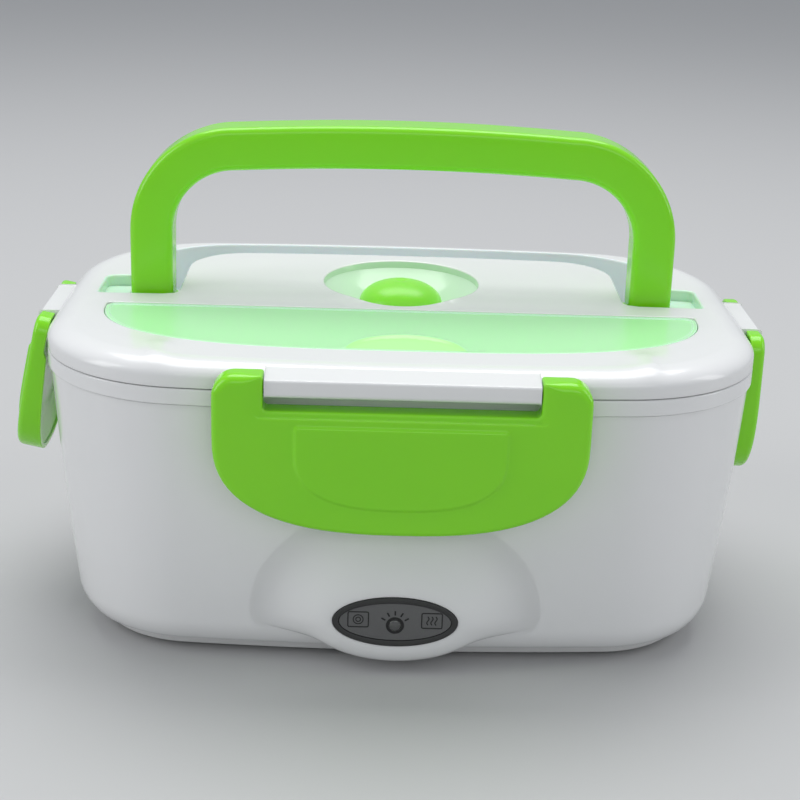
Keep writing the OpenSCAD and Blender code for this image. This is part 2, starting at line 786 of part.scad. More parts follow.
function spoon_outline(g, r = tip_r) =
  let (a = spoon_d(g, r))
  concat(a, flip(head(a), -1, 1));

// Hinge geometry: each latch turns on studs in the ends of its hinge bar.
latch_pivot = [-(half_d + 4), lid_top_z - 4.2];
side_pivot_x = half_w + 3;
side_pivot_z = lid_top_z - 4.2;
stud_in = 4;

// Hinge bar in the latch frame: pivot on the X axis, -Y outwards. Its upper face
// slopes down to the front.
module hinge_bar(half, front, rear) {
  r = 0.8;
  top = 3.4;
  low = -3.3;
  translate([-half, 0, 0]) rotate([90, 0, 90]) linear_extrude(2 * half) polygon(concat(
    [[rear, low], [rear, top], [0, top], [-0.7, top - 0.25]],
    [[-front + 0.5, 1], [-front + 0.1, 0.5], [-front, 0]],
    arc([-front + r, low + r], r, 180, 270, 3)));
}

module in_front_frame() {
  translate([0, latch_pivot.x, latch_pivot.y]) children();
}

module in_side_frame() {
  translate([side_pivot_x, 0, side_pivot_z]) rotate([0, 0, 90]) children();
}

module stud_holes(half, r) {
  for (s = [-1, 1]) translate([s * (half - stud_in / 2 + 0.5), 0, 0]) rotate([0, 90, 0])
    cylinder(h = stud_in + 1, r = r, center = true, $fn = 32);
}

slope_y0 = -9.5;
slope_y1 = 15;
ledge_drop = spoon_sink - 0.2;

// Shallow front part of the lid top: a ledge round the spoon cover and a slope up
// to the platform. A narrow rim is left standing round the dish.
module front_basin() {
  difference() {
    translate([-platform_x + 0.6, 0, 0]) rotate([90, 0, 90]) linear_extrude(2 * platform_x - 1.2)
      polygon([
        [spoon_rear_y - 2, lid_top_z - ledge_drop], [slope_y0, lid_top_z - ledge_drop],
        [slope_y1, lid_top_z], [slope_y1, lid_top_z + 2], [spoon_rear_y - 2, lid_top_z + 2]]);
    translate([0, vent_y, dish_z]) cylinder(h = dish_depth + 4, r = dish_r + dish_rim, $fn = 96);
  }
}

vent_tube_r = 7;
vent_bore_r = 4.2;
dish_z = lid_top_z - dish_depth;

module lid_shell() {
  color(white) difference() {
    union() {
      difference() {
        loft_solid(lid_rows());
        slab(skirt_t, lid_low_z - 1, seat_z);
        slab(plug_in + plug_t, lid_low_z - 1, lid_top_z - 2.2);
      }
      difference() {
        slab(plug_in, shell_low_z, seat_z + 0.5);
        slab(plug_in + plug_t, shell_low_z - 1, seat_z + 2);
      }
      translate([0, 0, shell_low_z]) linear_extrude(lid_top_z - 1.2 - shell_low_z)
        polygon(channel(lid_wall - 0.2));
      translate([0, 0, shell_low_z]) linear_extrude(lid_top_z - 2 - shell_low_z)
        polygon(spoon_outline(lid_wall, store_tip_r));
      translate([0, vent_y, dish_z - 2]) cylinder(h = dish_depth, r = dish_r + 1, $fn = 96);
      translate([0, vent_y, shell_low_z]) cylinder(h = 8, r = vent_tube_r, $fn = 48);
      in_front_frame() hinge_bar(bar_half_w, 3.5, 5);
      mirror([0, 1, 0]) in_front_frame() hinge_bar(bar_half_w, 3.5, 5);
      mirrored_x() in_side_frame() hinge_bar(side_bar_half_w, 2.6, 4);
    }
    translate([0, 0, channel_floor_z]) linear_extrude(40) polygon(channel(0));
    translate([0, 0, spoon_floor_z]) linear_extrude(40) polygon(spoon_outline(0, store_tip_r));
    front_basin();
    translate([0, vent_y, dish_z]) rotate_extrude($fn = 96)
      polygon([[0, 0], [dome_r + 1, 0], [dish_r, dish_depth], [dish_r, 20], [0, 20]]);
    translate([0, vent_y, shell_low_z - 1]) cylinder(h = 20, r = vent_bore_r, $fn = 48);
    for (s = [-1, 1]) translate([s * (platform_x - stud_l / 2 - 0.2), pivot_y, pivot_z])
      rotate([0, 90, 0]) cylinder(h = stud_l + 0.8, r = stud_r + run_gap, center = true, $fn = 32);
    in_front_frame() stud_holes(bar_half_w, latch_stud_r + run_gap);
    mirror([0, 1, 0]) in_front_frame() stud_holes(bar_half_w, latch_stud_r + run_gap);
    mirrored_x() in_side_frame() stud_holes(side_bar_half_w, latch_stud_r + run_gap);
    mirrored_x() bar_x(cover_hinge, cover_stud_r + run_gap, spoon_half_w - 3, spoon_half_w + 1, 24);
  }
}

module lid_liner() {
  color(white) difference() {
    slab(plug_in, shell_low_z - liner_t, shell_low_z);
    translate([0, vent_y, shell_low_z - liner_t - 1]) cylinder(h = 6, r = vent_tube_r - 1, $fn = 48);
  }
}

module lid_gasket() {
  z0 = lid_low_z - 0.05;
  color("#e8ebe8") loft_ring([
    [skirt_t + 0.1, z0 + 0.4], [skirt_t + 0.1, seat_z], [plug_in - 0.1, seat_z],
    [plug_in - 0.1, z0 + 0.4], [plug_in - 0.9, z0], [skirt_t + 0.9, z0]]);
}

// ---------- handle ----------
handle_cx = handle_half_w - handle_half_t;
handle_cr = handle_corner_r - handle_half_t;

// Middle line of half the handle in X and Z from the pivot, with its depth blend.
function handle_path() =
  let (
    px = handle_cx - handle_cr,
    pz = handle_reach - handle_half_t - bow * px * px - handle_cr)
  concat(
    [[handle_cx, 0, 0, 0], [handle_cx, pz * 0.6, 0, 0.15]],
    [for (i = [0:8]) let (a = 90 * i / 8)
      [px + handle_cr * cos(a), pz + handle_cr * sin(a), a, 0.3 + 0.7 * i / 8]],
    [[px / 2, handle_reach - handle_half_t - bow * px * px / 4, 90, 1]]);

function rounded_section(w, d0, d1, r) = concat(
  arc([w / 2 - r, d1 - r], r, 0, 90, 3), arc([-w / 2 + r, d1 - r], r, 90, 180, 3),
  arc([-w / 2 + r, d0 + r], r, 180, 270, 3), arc([w / 2 - r, d0 + r], r, 270, 360, 3));

front_face = -(leg_depth - leg_rear_r);

function handle_ring(p, side) =
  let (rear = leg_rear_r + (grip_depth - leg_depth) * p[3], s = rounded_section(handle_bar, front_face, rear, 2.6))
  [for (q = s) [
    side * (p.x + q.x * cos(p.z)), q.y, p.y + q.x * sin(p.z)]];

module handle_sweep() {
  path = handle_path();
  k = len(path);
  right = [for (i = [0:k - 1]) handle_ring(path[i], 1)];
  mid = handle_ring([0, handle_reach - handle_half_t, 90, 1], 1);
  left = [for (i = [k - 1:-1:0]) handle_ring(path[i], -1)];
  rings = concat(right, [mid], left);
  n = len(mid);
  points = [for (ring = rings) for (p = ring) p];
  m = len(rings);
  polyhedron(points, concat(
    [[for (i = [0:n - 1]) i]],
    [for (r = [0:m - 2]) for (i = [0:n - 1]) let (j = (i + 1) % n)
      [r * n + i, (r + 1) * n + i, (r + 1) * n + j, r * n + j]],
    [[for (i = [n - 1:-1:0]) (m - 1) * n + i]]));
}

module handle() {
  x0 = handle_half_w - handle_bar;
  color(green) translate([0, pivot_y, pivot_z]) union() {
    handle_sweep();
    mirrored_x() {
      intersection() {
        bar_x([0, 0], leg_rear_r, x0 + 0.4, handle_half_w - 0.4, 64);
        translate([0, front_face + 0.3, -20]) cube([200, 40, 24]);
      }
      bar_x([0, 0], stud_r, x0 - 1.6 - stud_l, x0 + 2);
    }
  }
}

// ---------- vent plug ----------
module vent_plug() {
  color("#90f040") translate([0, vent_y, dish_z + 0.3]) rotate_extrude($fn = 64) polygon(concat(
    [[0, -dish_depth + 1], [vent_bore_r - 0.9, -dish_depth + 1], [vent_bore_r - 0.4, -dish_depth + 2],
      [vent_bore_r - 0.4, 0], [dome_r, 0], [dome_r, 0.8]],
    [for (i = [1:7]) let (a = 90 * i / 8) [dome_r * cos(a), 0.8 + dome_h * sin(a)]],
    [[2.2, 0.8 + dome_h], [1.8, 0.2 + dome_h], [0, 0.2 + dome_h]]));
}

// ---------- spoon store ----------

module spoon_cover() {
  color(pale_green, 0.8) difference() {
    union() {
      translate([0, 0, spoon_top_z - spoon_cover_t]) linear_extrude(spoon_cover_t)
        polygon(spoon_outline(-spoon_gap));
      translate([0, 0, spoon_top_z - 4]) linear_extrude(3) difference() {
        polygon(spoon_outline(-spoon_gap - 2.4));
        polygon(spoon_outline(-spoon_gap - 3.8));
      }
      mirrored_x() bar_x(cover_hinge, cover_stud_r, spoon_half_w - 5, spoon_half_w + 0.7, 24);
    }
    translate([0, 0, spoon_top_z - border_h]) linear_extrude(2)
      polygon(spoon_outline(-spoon_gap - border_w));
    translate([1, spoon_rear_y - spoon_cover_d - 1, spoon_top_z - border_h - 0.5])
      cylinder(h = 4, r = 20, $fn = 64);
  }
}

// Plain folding spoon lying in the store.
module spoon() {
  z = spoon_floor_z + 0.3;
  color("#e8f2e4") translate([0, -42, z]) {
    difference() {
      translate([48, 0, 0]) linear_extrude(5) polygon(oval(26, 13, 36));
      translate([48, 0, 1.2]) linear_extrude(6) polygon(oval(24.4, 11.4, 36));
    }
    translate([-58, -5, 0]) linear_extrude(2.6)
      polygon([[0, 0], [82, 1.5], [82, 8.5], [0, 10], [-4, 7], [-4, 3]]);
  }
}

// ---------- latches ----------
panel_top = -6.4;
strip_z = -8.3;

// Half round of a latch from its left side down to its tip and up to its right side,
// a little squarer than an oval.
function latch_end(half, top, drop) =
  [for (i = [0:24]) let (a = 180 + 180 * i / 24)
    [half * sign(cos(a)) * pow(abs(cos(a)), end_power), top - (drop + top) * pow(abs(sin(a)), end_power)]];

function latch_face(half, drop, straight, g) = concat(
  [[half - g, panel_top], [-half + g, panel_top]],
  latch_end(half - g, -straight, drop - g));

// Front view of one ear, rounded at its outer upper corner.
function ear_front(half, ear_in, top, low) = concat(
  [[ear_in, low], [half, low]],
  arc([half - ear_corner_r, top - ear_corner_r], ear_corner_r, 0, 90, 5),
  [[ear_in + 0.6, top], [ear_in, top - 0.6]]);

// Thumb pad on a latch's face, with a bevelled edge.
module latch_pad(half, top, drop) {
  for (g = [0, 0.7])
    translate([0, 0, -0.5]) linear_extrude(0.5 + (g > 0 ? pad_h : pad_h / 2))
      polygon(concat([[half - g, top - g], [-half + g, top - g]], latch_end(half - g, top - 9, drop - g)));
}

// Latch in its own frame: it turns on the X axis, -Y is outwards and it hangs down.
module latch(half, bar_half, front, rear, ear_r, drop, straight, lip, pad) {
  ear_in = bar_half + ear_gap;
  color(green) difference() {
    union() {
      facing_front(-front + latch_face_t) linear_extrude(latch_face_t)
        polygon(latch_face(half, drop, straight, 0));
      facing_front(-front + latch_face_t + 2.6) linear_extrude(2.8) difference() {
        polygon(latch_face(half, drop, straight, 0));
        polygon(latch_face(half, drop, straight, 1.8));
      }
      facing_front(-front) latch_pad(pad.x, pad.y, drop - pad_margin);
      mirrored_x() intersection() {
        translate([ear_in, 0, 0]) rotate([90, 0, 90]) linear_extrude(half - ear_in)
          polygon(concat(
            [[rear, -straight + 2], [rear, 0]],
            arc([0, 0], ear_r, 20, 90, 5),
            arc([-front + 3, ear_r - 3], 3, 90, 180, 4),
            [[-front, -straight + 2]]));
        facing_front(20) linear_extrude(40)
          polygon(ear_front(half, ear_in, ear_r, -straight - 5));
      }
      for (s = [-1, 1]) translate([s * (ear_in - stud_in / 2 + 0.5), 0, 0]) rotate([0, 90, 0])
        cylinder(h = stud_in, r = latch_stud_r, center = true, $fn = 32);
      translate([-bar_half, -front + 1, -11.5]) cube([2 * bar_half, front + lip - 1, 1.4]);
    }
    // strip under the hinge bar, set back from the face
    translate([-ear_in, -front - 1, strip_z]) cube([2 * ear_in, 1.6, panel_top - strip_z + 1]);
  }
}

module wide_latch() {
  in_front_frame()
    latch(latch_half_w, bar_half_w, 5, 3.2, 4, latch_drop, 15.6, 3.7, [33.4, -11.2]);
}

module side_latch() {
  latch(side_half_w, side_bar_half_w, 3.2, 2.6, 2.6, side_drop, 19, 2.6, [18, -9]);
}

module front_latch() {
  wide_latch();
}

module rear_latch() {
  mirror([0, 1, 0]) wide_latch();
}

module right_latch() {
  in_side_frame() side_latch();
}

module left_latch() {
  mirror([1, 0, 0]) in_side_frame() rotate([-left_ajar, 0, 0]) side_latch();
}

outer_shell();
inner_tub();
heating_plate();
plate_seal();
ptc_heater();
mica_sheet();
heater_clamp();
clamp_screws();
thermal_fuse();
wiring();
led_board();
indicator_led();
lamp_bezel();
lamp_panel();
lamp_lens();
power_inlet();
inlet_pins();
bottom_cover();
cover_screws();
feet();
food_tray();
small_tray();
small_tray_lid();
lid_shell();
lid_liner();
lid_gasket();
handle();
vent_plug();
spoon_cover();
spoon();
front_latch();
rear_latch();
left_latch();
right_latch();
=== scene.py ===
import math
from functools import partial

import bmesh
import bpy
import numpy as np
from mathutils import Matrix, Vector
from mathutils.geometry import delaunay_2d_cdt


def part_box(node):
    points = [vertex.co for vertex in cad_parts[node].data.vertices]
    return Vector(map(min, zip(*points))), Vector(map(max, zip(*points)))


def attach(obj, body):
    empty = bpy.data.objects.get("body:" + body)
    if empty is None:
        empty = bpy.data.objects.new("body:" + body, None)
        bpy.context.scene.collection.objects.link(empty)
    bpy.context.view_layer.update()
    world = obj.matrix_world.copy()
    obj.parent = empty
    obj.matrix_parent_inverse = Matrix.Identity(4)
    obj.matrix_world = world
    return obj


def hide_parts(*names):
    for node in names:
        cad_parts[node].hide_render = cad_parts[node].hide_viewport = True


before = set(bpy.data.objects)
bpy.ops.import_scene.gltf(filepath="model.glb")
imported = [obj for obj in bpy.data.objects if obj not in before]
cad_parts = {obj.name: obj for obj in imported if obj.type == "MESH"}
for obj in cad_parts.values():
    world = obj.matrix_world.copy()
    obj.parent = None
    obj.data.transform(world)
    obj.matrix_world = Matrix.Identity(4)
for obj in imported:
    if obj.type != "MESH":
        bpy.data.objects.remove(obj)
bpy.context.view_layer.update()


# ---- Camera and studio ----------------------------------------------------------
# A pale floor, a bright soft box above and behind, two weaker ones at the sides and
# one in front. The camera stands before the lamp side and looks down on the lid.

eye = Vector((-0.0087, -0.5745, 0.2639))
yaw, pitch, roll = math.radians(0.93), math.radians(18.82), math.radians(1.84)
camera = bpy.data.objects.new("camera", bpy.data.cameras.new("camera"))
camera.data.lens = 76.2
camera.data.sensor_width = 36
camera.matrix_world = (
    Matrix.Translation(eye)
    @ Matrix.Rotation(-yaw, 4, "Z")
    @ Matrix.Rotation(math.pi / 2 - pitch, 4, "X")
    @ Matrix.Rotation(roll, 4, "Z")
)
bpy.context.collection.objects.link(camera)
bpy.context.scene.camera = camera
bpy.context.scene.view_settings.view_transform = "Standard"


def soft_box(name, place, aim, width, height, power):
    lamp = bpy.data.lights.new(name, "AREA")
    lamp.shape = "RECTANGLE"
    lamp.size = width
    lamp.size_y = height
    lamp.energy = power
    stand = bpy.data.objects.new(name, lamp)
    stand.location = place
    stand.rotation_euler = (Vector(aim) - Vector(place)).to_track_quat("-Z", "Y").to_euler()
    bpy.context.collection.objects.link(stand)


soft_box("light_top", (0.0, 0.45, 1.35), (0, 0, 0.08), 1.3, 0.9, 13.4)
soft_box("light_left", (-1.3, -0.35, 0.75), (0, 0, 0.06), 0.5, 1.0, 5.0)
soft_box("light_right", (1.4, -0.1, 0.7), (0, 0, 0.06), 0.4, 1.0, 3.2)
soft_box("light_front", (0.25, -1.6, 0.9), (0, 0, 0.05), 1.6, 0.5, 3.2)

world = bpy.data.worlds.new("studio")
bpy.context.scene.world = world
world.use_nodes = True
world.node_tree.nodes["Background"].inputs["Color"].default_value = (0.9, 0.94, 1.0, 1)
world.node_tree.nodes["Background"].inputs["Strength"].default_value = 0.5

def new_material(name):
    """A new material with its node tree and its main shader."""
    material = bpy.data.materials.new(name)
    material.use_nodes = True
    return material, material.node_tree, material.node_tree.nodes["Principled BSDF"]


floor_r = 14
floor_mesh = bpy.data.meshes.new("floor")
floor_bm = bmesh.new()
bmesh.ops.create_circle(floor_bm, cap_ends=True, radius=floor_r, segments=64)
floor_bm.to_mesh(floor_mesh)
floor_bm.free()
floor = bpy.data.objects.new("floor", floor_mesh)
bpy.context.collection.objects.link(floor)

floor_paint, tree, shader = new_material("floor_paint")
speckle = tree.nodes.new("ShaderNodeTexNoise")
speckle.inputs["Scale"].default_value = 3
speckle_tone = tree.nodes.new("ShaderNodeMapRange")
speckle_tone.inputs["To Min"].default_value = 0.5
speckle_tone.inputs["To Max"].default_value = 0.56
tree.links.new(speckle.outputs["Fac"], speckle_tone.inputs["Value"])
tree.links.new(speckle_tone.outputs["Result"], shader.inputs["Base Color"])
shader.inputs["Roughness"].default_value = 0.55
floor_mesh.materials.append(floor_paint)


# ---- Case shell -----------------------------------------------------------------
# Outer wall of the case: one glossy white polypropylene moulding, drafted and a
# little bulged, with a rounded lower edge and a soft swelling that holds the lamp.

MM = 0.001
half_w, half_d, rim_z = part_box("inner_tub")[1] / MM
corner_r, long_bow_r, short_bow_r = 50, 900, 1500
shell_top_z = rim_z - 5.5
shell_foot_z = 6
shell_wall = 2
top_inset, draft, bulge = 1, 0.058, 0.00041
bottom_edge_r, bottom_edge_h = 12, 8
lip_inset, lip_h = 1.6, 3.6
lamp_z = 20
lamp_a, lamp_b = 20.2, 8.6
lamp_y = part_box("lamp_bezel")[0].y / MM + 0.4
lamp_rim = 1.2
flare_out, flare_up, flare_down, flare_steps = 26, 30, 9, 22
turn_out, turn_down = 9.1, 6.8
sliver_share = 0.003


def arc(cx, cy, radius, start, end, steps):
    turns = np.radians(np.linspace(start, end, steps + 1))
    return np.column_stack((cx + radius * np.cos(turns), cy + radius * np.sin(turns)))


def corner_centre():
    long_y, short_x = half_d - long_bow_r, half_w - short_bow_r
    ra, rb = long_bow_r - corner_r, short_bow_r - corner_r
    span = math.hypot(short_x, long_y)
    along = (ra * ra - rb * rb + span * span) / (2 * span)
    across = math.sqrt(ra * ra - along * along)
    return (
        (along * short_x - across * long_y) / span,
        long_y - (along * long_y + across * short_x) / span,
    )


def outline(inset):
    """Plan of the case, inset everywhere by the same distance: four bowed sides and four
    corner arcs."""
    long_y, short_x = half_d - long_bow_r, half_w - short_bow_r
    cx, cy = corner_centre()
    long_angle = math.degrees(math.atan2(cy - long_y, cx))
    short_angle = math.degrees(math.atan2(cy, cx - short_x))
    quarter = np.concatenate((
        arc(short_x, 0, short_bow_r - inset, 0, short_angle, 8)[:-1],
        arc(cx, cy, corner_r - inset, short_angle, long_angle, 26)[:-1],
        arc(0, long_y, long_bow_r - inset, long_angle, 90, 18),
    ))
    back = quarter[::-1]
    return np.concatenate((
        quarter[:-1], (back * (-1, 1))[:-1], (-quarter)[:-1], (back * (1, -1))[:-1],
    ))


def level(flat, z):
    """Points of a flat ring at one height, or each at its own."""
    return np.column_stack((flat, np.broadcast_to(z, len(flat))))


def stack(ring, steps):
    """The flat ring at each step of (distance outwards, z)."""
    return [level(grow(ring, outwards), z) for outwards, z in steps]


def plan(rows):
    """Rings of the case's plan, one for each row of (inset, z)."""
    return [level(outline(inset), z) for inset, z in rows]


def smooth(t):
    t = np.clip(t, 0, 1)
    return t * t * (3 - 2 * t)


def grow(ring, distance):
    """A closed ring moved outwards along its own normals."""
    before = ring - np.roll(ring, 1, axis=0)
    after = np.roll(ring, -1, axis=0) - ring
    before /= np.linalg.norm(before, axis=1)[:, None]
    after /= np.linalg.norm(after, axis=1)[:, None]
    n1 = np.column_stack((before[:, 1], -before[:, 0]))
    n2 = np.column_stack((after[:, 1], -after[:, 0]))
    middle = n1 + n2
    middle /= np.linalg.norm(middle, axis=1)[:, None]
    return ring + middle * (distance / np.clip((middle * n1).sum(axis=1), 0.4, 1))[:, None]


def filleted(corners, steps=5):
    """Ring or profile through (x, y, radius) corners, each rounded by its radius."""
    ring = []
    count = len(corners)
    for i, (x, y, radius) in enumerate(corners):
        here = np.array((x, y), float)
        if radius == 0:
            ring.append(here)
            continue
        to_last = np.array(corners[i - 1][:2], float) - here
        to_next = np.array(corners[(i + 1) % count][:2], float) - here
        to_last /= np.linalg.norm(to_last)
        to_next /= np.linalg.norm(to_next)
        half = math.acos(np.clip(to_last @ to_next, -1, 1)) / 2
        middle = (to_last + to_next) / np.linalg.norm(to_last + to_next)
        centre = here + middle * radius / math.sin(half)
        start = here + to_last * radius / math.tan(half) - centre
        end = here + to_next * radius / math.tan(half) - centre
        a0, a1 = math.atan2(start[1], start[0]), math.atan2(end[1], end[0])
        sweep = (a1 - a0 + math.pi) % (2 * math.pi) - math.pi
        for k in range(steps + 1):
            a = a0 + sweep * k / steps
            ring.append(centre + radius * np.array((math.cos(a), math.sin(a))))
    return np.array(ring)


def spaced(ring, gap):
    """The closed ring with long stretches divided, so that no step is much longer than gap."""
    out = []
    for a, b in zip(ring, np.roll(ring, -1, axis=0)):
        parts = max(1, int(np.linalg.norm(b - a) / gap))
        out += [a + (b - a) * k / parts for k in range(parts)]
    return np.array(out)


def within(points, ring):
    """Which points lie inside a closed ring."""
    x, y = points[:, 0, None], points[:, 1, None]
    a, b = ring, np.roll(ring, -1, axis=0)
    crosses = (a[:, 1] > y) != (b[:, 1] > y)
    rise = np.where(b[:, 1] == a[:, 1], 1, b[:, 1] - a[:, 1])
    left = x < a[:, 0] + (y - a[:, 1]) * (b[:, 0] - a[:, 0]) / rise
    return (crosses & left).sum(axis=1) % 2 == 1


class Skin:
    """Points and faces of one piece in millimetres, gathered before they become a mesh."""

    def __init__(self):
        self.points, self.faces, self.looks, self.look = [], [], [], 0

    def ring(self, points):
        start = len(self.points)
        self.points += [tuple(map(float, p)) for p in points]
        return list(range(start, len(self.points)))

    def face(self, corners):
        self.faces.append(tuple(corners))
        self.looks.append(self.look)

    def strip(self, a, b, closed=True):
        for i in range(len(a) if closed else len(a) - 1):
            j = (i + 1) % len(a)
            self.face((a[i], a[j], b[j], b[i]))

    def loft(self, rings, closed=True):
        made = [self.ring(r) for r in rings]
        for a, b in zip(made, made[1:]):
            self.strip(a, b, closed)
        return made

    def tube(self, rings):
        """Rings joined in a closed loop, open in the middle."""
        made = self.loft(rings)
        self.strip(made[-1], made[0])

    def solid(self, rings):
        made = self.loft(rings)
        self.face(made[0])
        self.face(made[-1][::-1])

    def patch(self, outer, holes=(), height=None, step=3.0, lines=()):
        """Triangles between an outer ring and holes, over a grid of points at height(x, y)."""
        ids = [i for r in (outer, *holes) for i in r]
        flat = np.array([self.points[i][:2] for i in ids])
        edges, start, rings = [], 0, []
        for r in (outer, *holes):
            edges += [(start + i, start + (i + 1) % len(r)) for i in range(len(r))]
            rings.append(flat[start:start + len(r)])
            start += len(r)
        for line in lines:
            edges += [(start + i, start + i + 1) for i in range(len(line) - 1)]
            start += len(line)

        def covered(points):
            inside = [within(points, r) for r in rings]
            return inside[0] & ~np.any(inside[1:], axis=0)

        fixed = np.concatenate([flat, *lines])
        low, high = flat.min(axis=0), flat.max(axis=0)
        rows = np.arange(low[1] + step / 2, high[1], step * 0.87)
        columns = np.arange(low[0], high[0], step)
        grid = np.array([(x + step / 2 * (k % 2), y) for k, y in enumerate(rows) for x in columns])
        grid = grid.reshape(-1, 2)
        grid = grid[covered(grid)]
        gaps = np.array([np.min(np.hypot(*(fixed - p).T)) for p in grid])
        spots = [Vector(p) for p in (*fixed, *grid[gaps > 0.55 * step])]
        points, _, triangles, origins, _, _ = delaunay_2d_cdt(spots, edges, [], 0, 1e-5)
        index = []
        for p, origin in zip(points, origins):
            if origin and origin[0] < len(ids):
                index.append(ids[origin[0]])
            else:
                z = height(*np.array([p]).T)[0] if height else self.points[ids[0]][2]
                index += self.ring([(*p, z)])
        middles = np.array([np.mean([points[i] for i in t], axis=0) for t in triangles])
        for t, kept in zip(triangles, covered(middles)):
            if kept:
                self.face([index[i] for i in t])

    def lathe(self, profile, centre=(0, 0), sides=64, matrix=Matrix()):
        """Turns (radius, z) points round an upright axis. A radius of 0 closes the end."""
        rings = [level(arc(*centre, radius, 0, 360, sides)[:-1], z) for radius, z in profile]
        return self.loft([[matrix @ Vector(p) for p in ring] for ring in rings])[-1]


def piece(name, skin, materials, body, replaces=(), place=None, sharp=38):
    """Makes the skin a mesh object in metres that rides on a body and stands for CAD nodes."""
    mesh = bpy.data.meshes.new(name)
    mesh.from_pydata((np.array(skin.points) * MM).tolist(), [], skin.faces)
    for material in materials:
        mesh.materials.append(material)
    mesh.polygons.foreach_set("material_index", skin.looks)
    bm = bmesh.new()
    bm.from_mesh(mesh)
    bmesh.ops.remove_doubles(bm, verts=bm.verts, dist=2e-6)
    bmesh.ops.dissolve_degenerate(bm, edges=bm.edges, dist=1e-7)
    bmesh.ops.recalc_face_normals(bm, faces=bm.faces)
    if place is not None:
        bmesh.ops.transform(bm, matrix=place, verts=bm.verts)
    bm.to_mesh(mesh)
    bm.free()
    mesh.polygons.foreach_set("use_smooth", [True] * len(mesh.polygons))
    mesh.set_sharp_from_angle(angle=math.radians(sharp))
    bm = bmesh.new()
    bm.from_mesh(mesh)
    slivers = {f for f in bm.faces
               if len(f.verts) == 3 and f.calc_area() < sliver_share * f.calc_perimeter() ** 2}
    for edge in bm.edges:
        edge.smooth = edge.smooth or not slivers.isdisjoint(edge.link_faces)
    bm.to_mesh(mesh)
    bm.free()
    made = bpy.data.objects.new(name, mesh)
    bpy.context.collection.objects.link(made)
    weighted = made.modifiers.new("weighted_normals", "WEIGHTED_NORMAL")
    weighted.mode = "FACE_AREA"
    weighted.keep_sharp = True
    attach(made, body)
    if replaces:
        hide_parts(*replaces)


def node_group(name, inputs, outputs):
    """A shader group whose named sockets take their kind from a value: a number or a colour."""
    group = bpy.data.node_groups.new(name, "ShaderNodeTree")
    for way, sockets in (("INPUT", inputs), ("OUTPUT", outputs)):
        for label, value in sockets.items():
            kind = "NodeSocketColor" if isinstance(value, tuple) else "NodeSocketFloat"
            socket = group.interface.new_socket(label, in_out=way, socket_type=kind)
            socket.default_value = value
    given = group.nodes.new("NodeGroupInput").outputs
    return group, given, group.nodes.new("NodeGroupOutput").inputs


def feed(tree, socket, value):
    """Links a socket to another one, or sets it to a plain value."""
    if isinstance(value, bpy.types.NodeSocket):
        tree.links.new(value, socket)
    else:
        socket.default_value = value


def object_point(tree):
    return tree.nodes.new("ShaderNodeTexCoord").outputs["Object"]


def noise(tree, scale, detail=3.0, stretch=(1, 1, 1)):
    """Noise on stretched object coordinates; returns its value socket."""
    mapping = tree.nodes.new("ShaderNodeMapping")
    mapping.inputs["Scale"].default_value = stretch
    tree.links.new(object_point(tree), mapping.inputs["Vector"])
    texture = tree.nodes.new("ShaderNodeTexNoise")
    texture.inputs["Detail"].default_value = detail
    feed(tree, texture.inputs["Scale"], scale)
    tree.links.new(mapping.outputs["Vector"], texture.inputs["Vector"])
    return texture.outputs["Fac"]


def maths(tree, kind, a, b=0.0):
    node = tree.nodes.new("ShaderNodeMath")
    node.operation = kind
    feed(tree, node.inputs[0], a)
    feed(tree, node.inputs[1], b)
    return node.outputs["Value"]


def mix(tree, factor, a, b):
    """Mixes two colours; a and b are sockets or colours."""
    node = tree.nodes.new("ShaderNodeMix")
    node.data_type = "RGBA"
    for at, value in ((0, factor), (6, a), (7, b)):
        feed(tree, node.inputs[at], value)
    return node.outputs[2]


def bumped(tree, height, strength, distance):
    """Links a height socket to the material's normal by a bump node."""
    relief = tree.nodes.new("ShaderNodeBump")
    relief.inputs["Strength"].default_value = strength
    relief.inputs["Distance"].default_value = distance
    tree.links.new(height, relief.inputs["Height"])
    tree.links.new(relief.outputs["Normal"], tree.nodes["Principled BSDF"].inputs["Normal"])


# Moulded skin: faint flow ripple, fine orange peel and hairline handling scratches.
skin_group, given, wanted = node_group(
    "moulded_skin", {"Roughness": 0.3, "Spread": 0.08, "Grain": 900.0, "Scratches": 0.3},
    {"Roughness": 0.3, "Height": 0.0})
calc = partial(maths, skin_group)
peel = noise(skin_group, given["Grain"], 2.0)
flow = noise(skin_group, 22.0, 3.0, (1, 1, 0.5))
cloud = noise(skin_group, 60.0, 4.0)
hairs = calc("MAXIMUM", noise(skin_group, 260.0, 4.0, (1, 0.03, 1)),
             noise(skin_group, 240.0, 4.0, (0.04, 1, 0.4)))
hairs = calc("MULTIPLY", calc("GREATER_THAN", hairs, 0.735), given["Scratches"])
varied = calc("MULTIPLY", calc("SUBTRACT", cloud, 0.5), given["Spread"])
varied = calc("ADD", calc("ADD", given["Roughness"], varied), calc("MULTIPLY", hairs, 0.12))
skin_group.links.new(varied, wanted["Roughness"])
high = calc("SUBTRACT", calc("ADD", calc("MULTIPLY", peel, 0.25), flow),
            calc("MULTIPLY", hairs, 0.3))
skin_group.links.new(high, wanted["Height"])

# Resin tone: slow drift between two close colours, as a moulding has along its flow.
tone_group, given, wanted = node_group(
    "resin_tone", {"Tone": (0.8, 0.8, 0.8, 1), "Drift": (0.76, 0.76, 0.76, 1), "Scale": 14.0},
    {"Color": (0.8, 0.8, 0.8, 1)})
drift = noise(tone_group, given["Scale"], 3.0, (1, 1, 1.6))
tone_group.links.new(mix(tone_group, drift, given["Tone"], given["Drift"]), wanted["Color"])

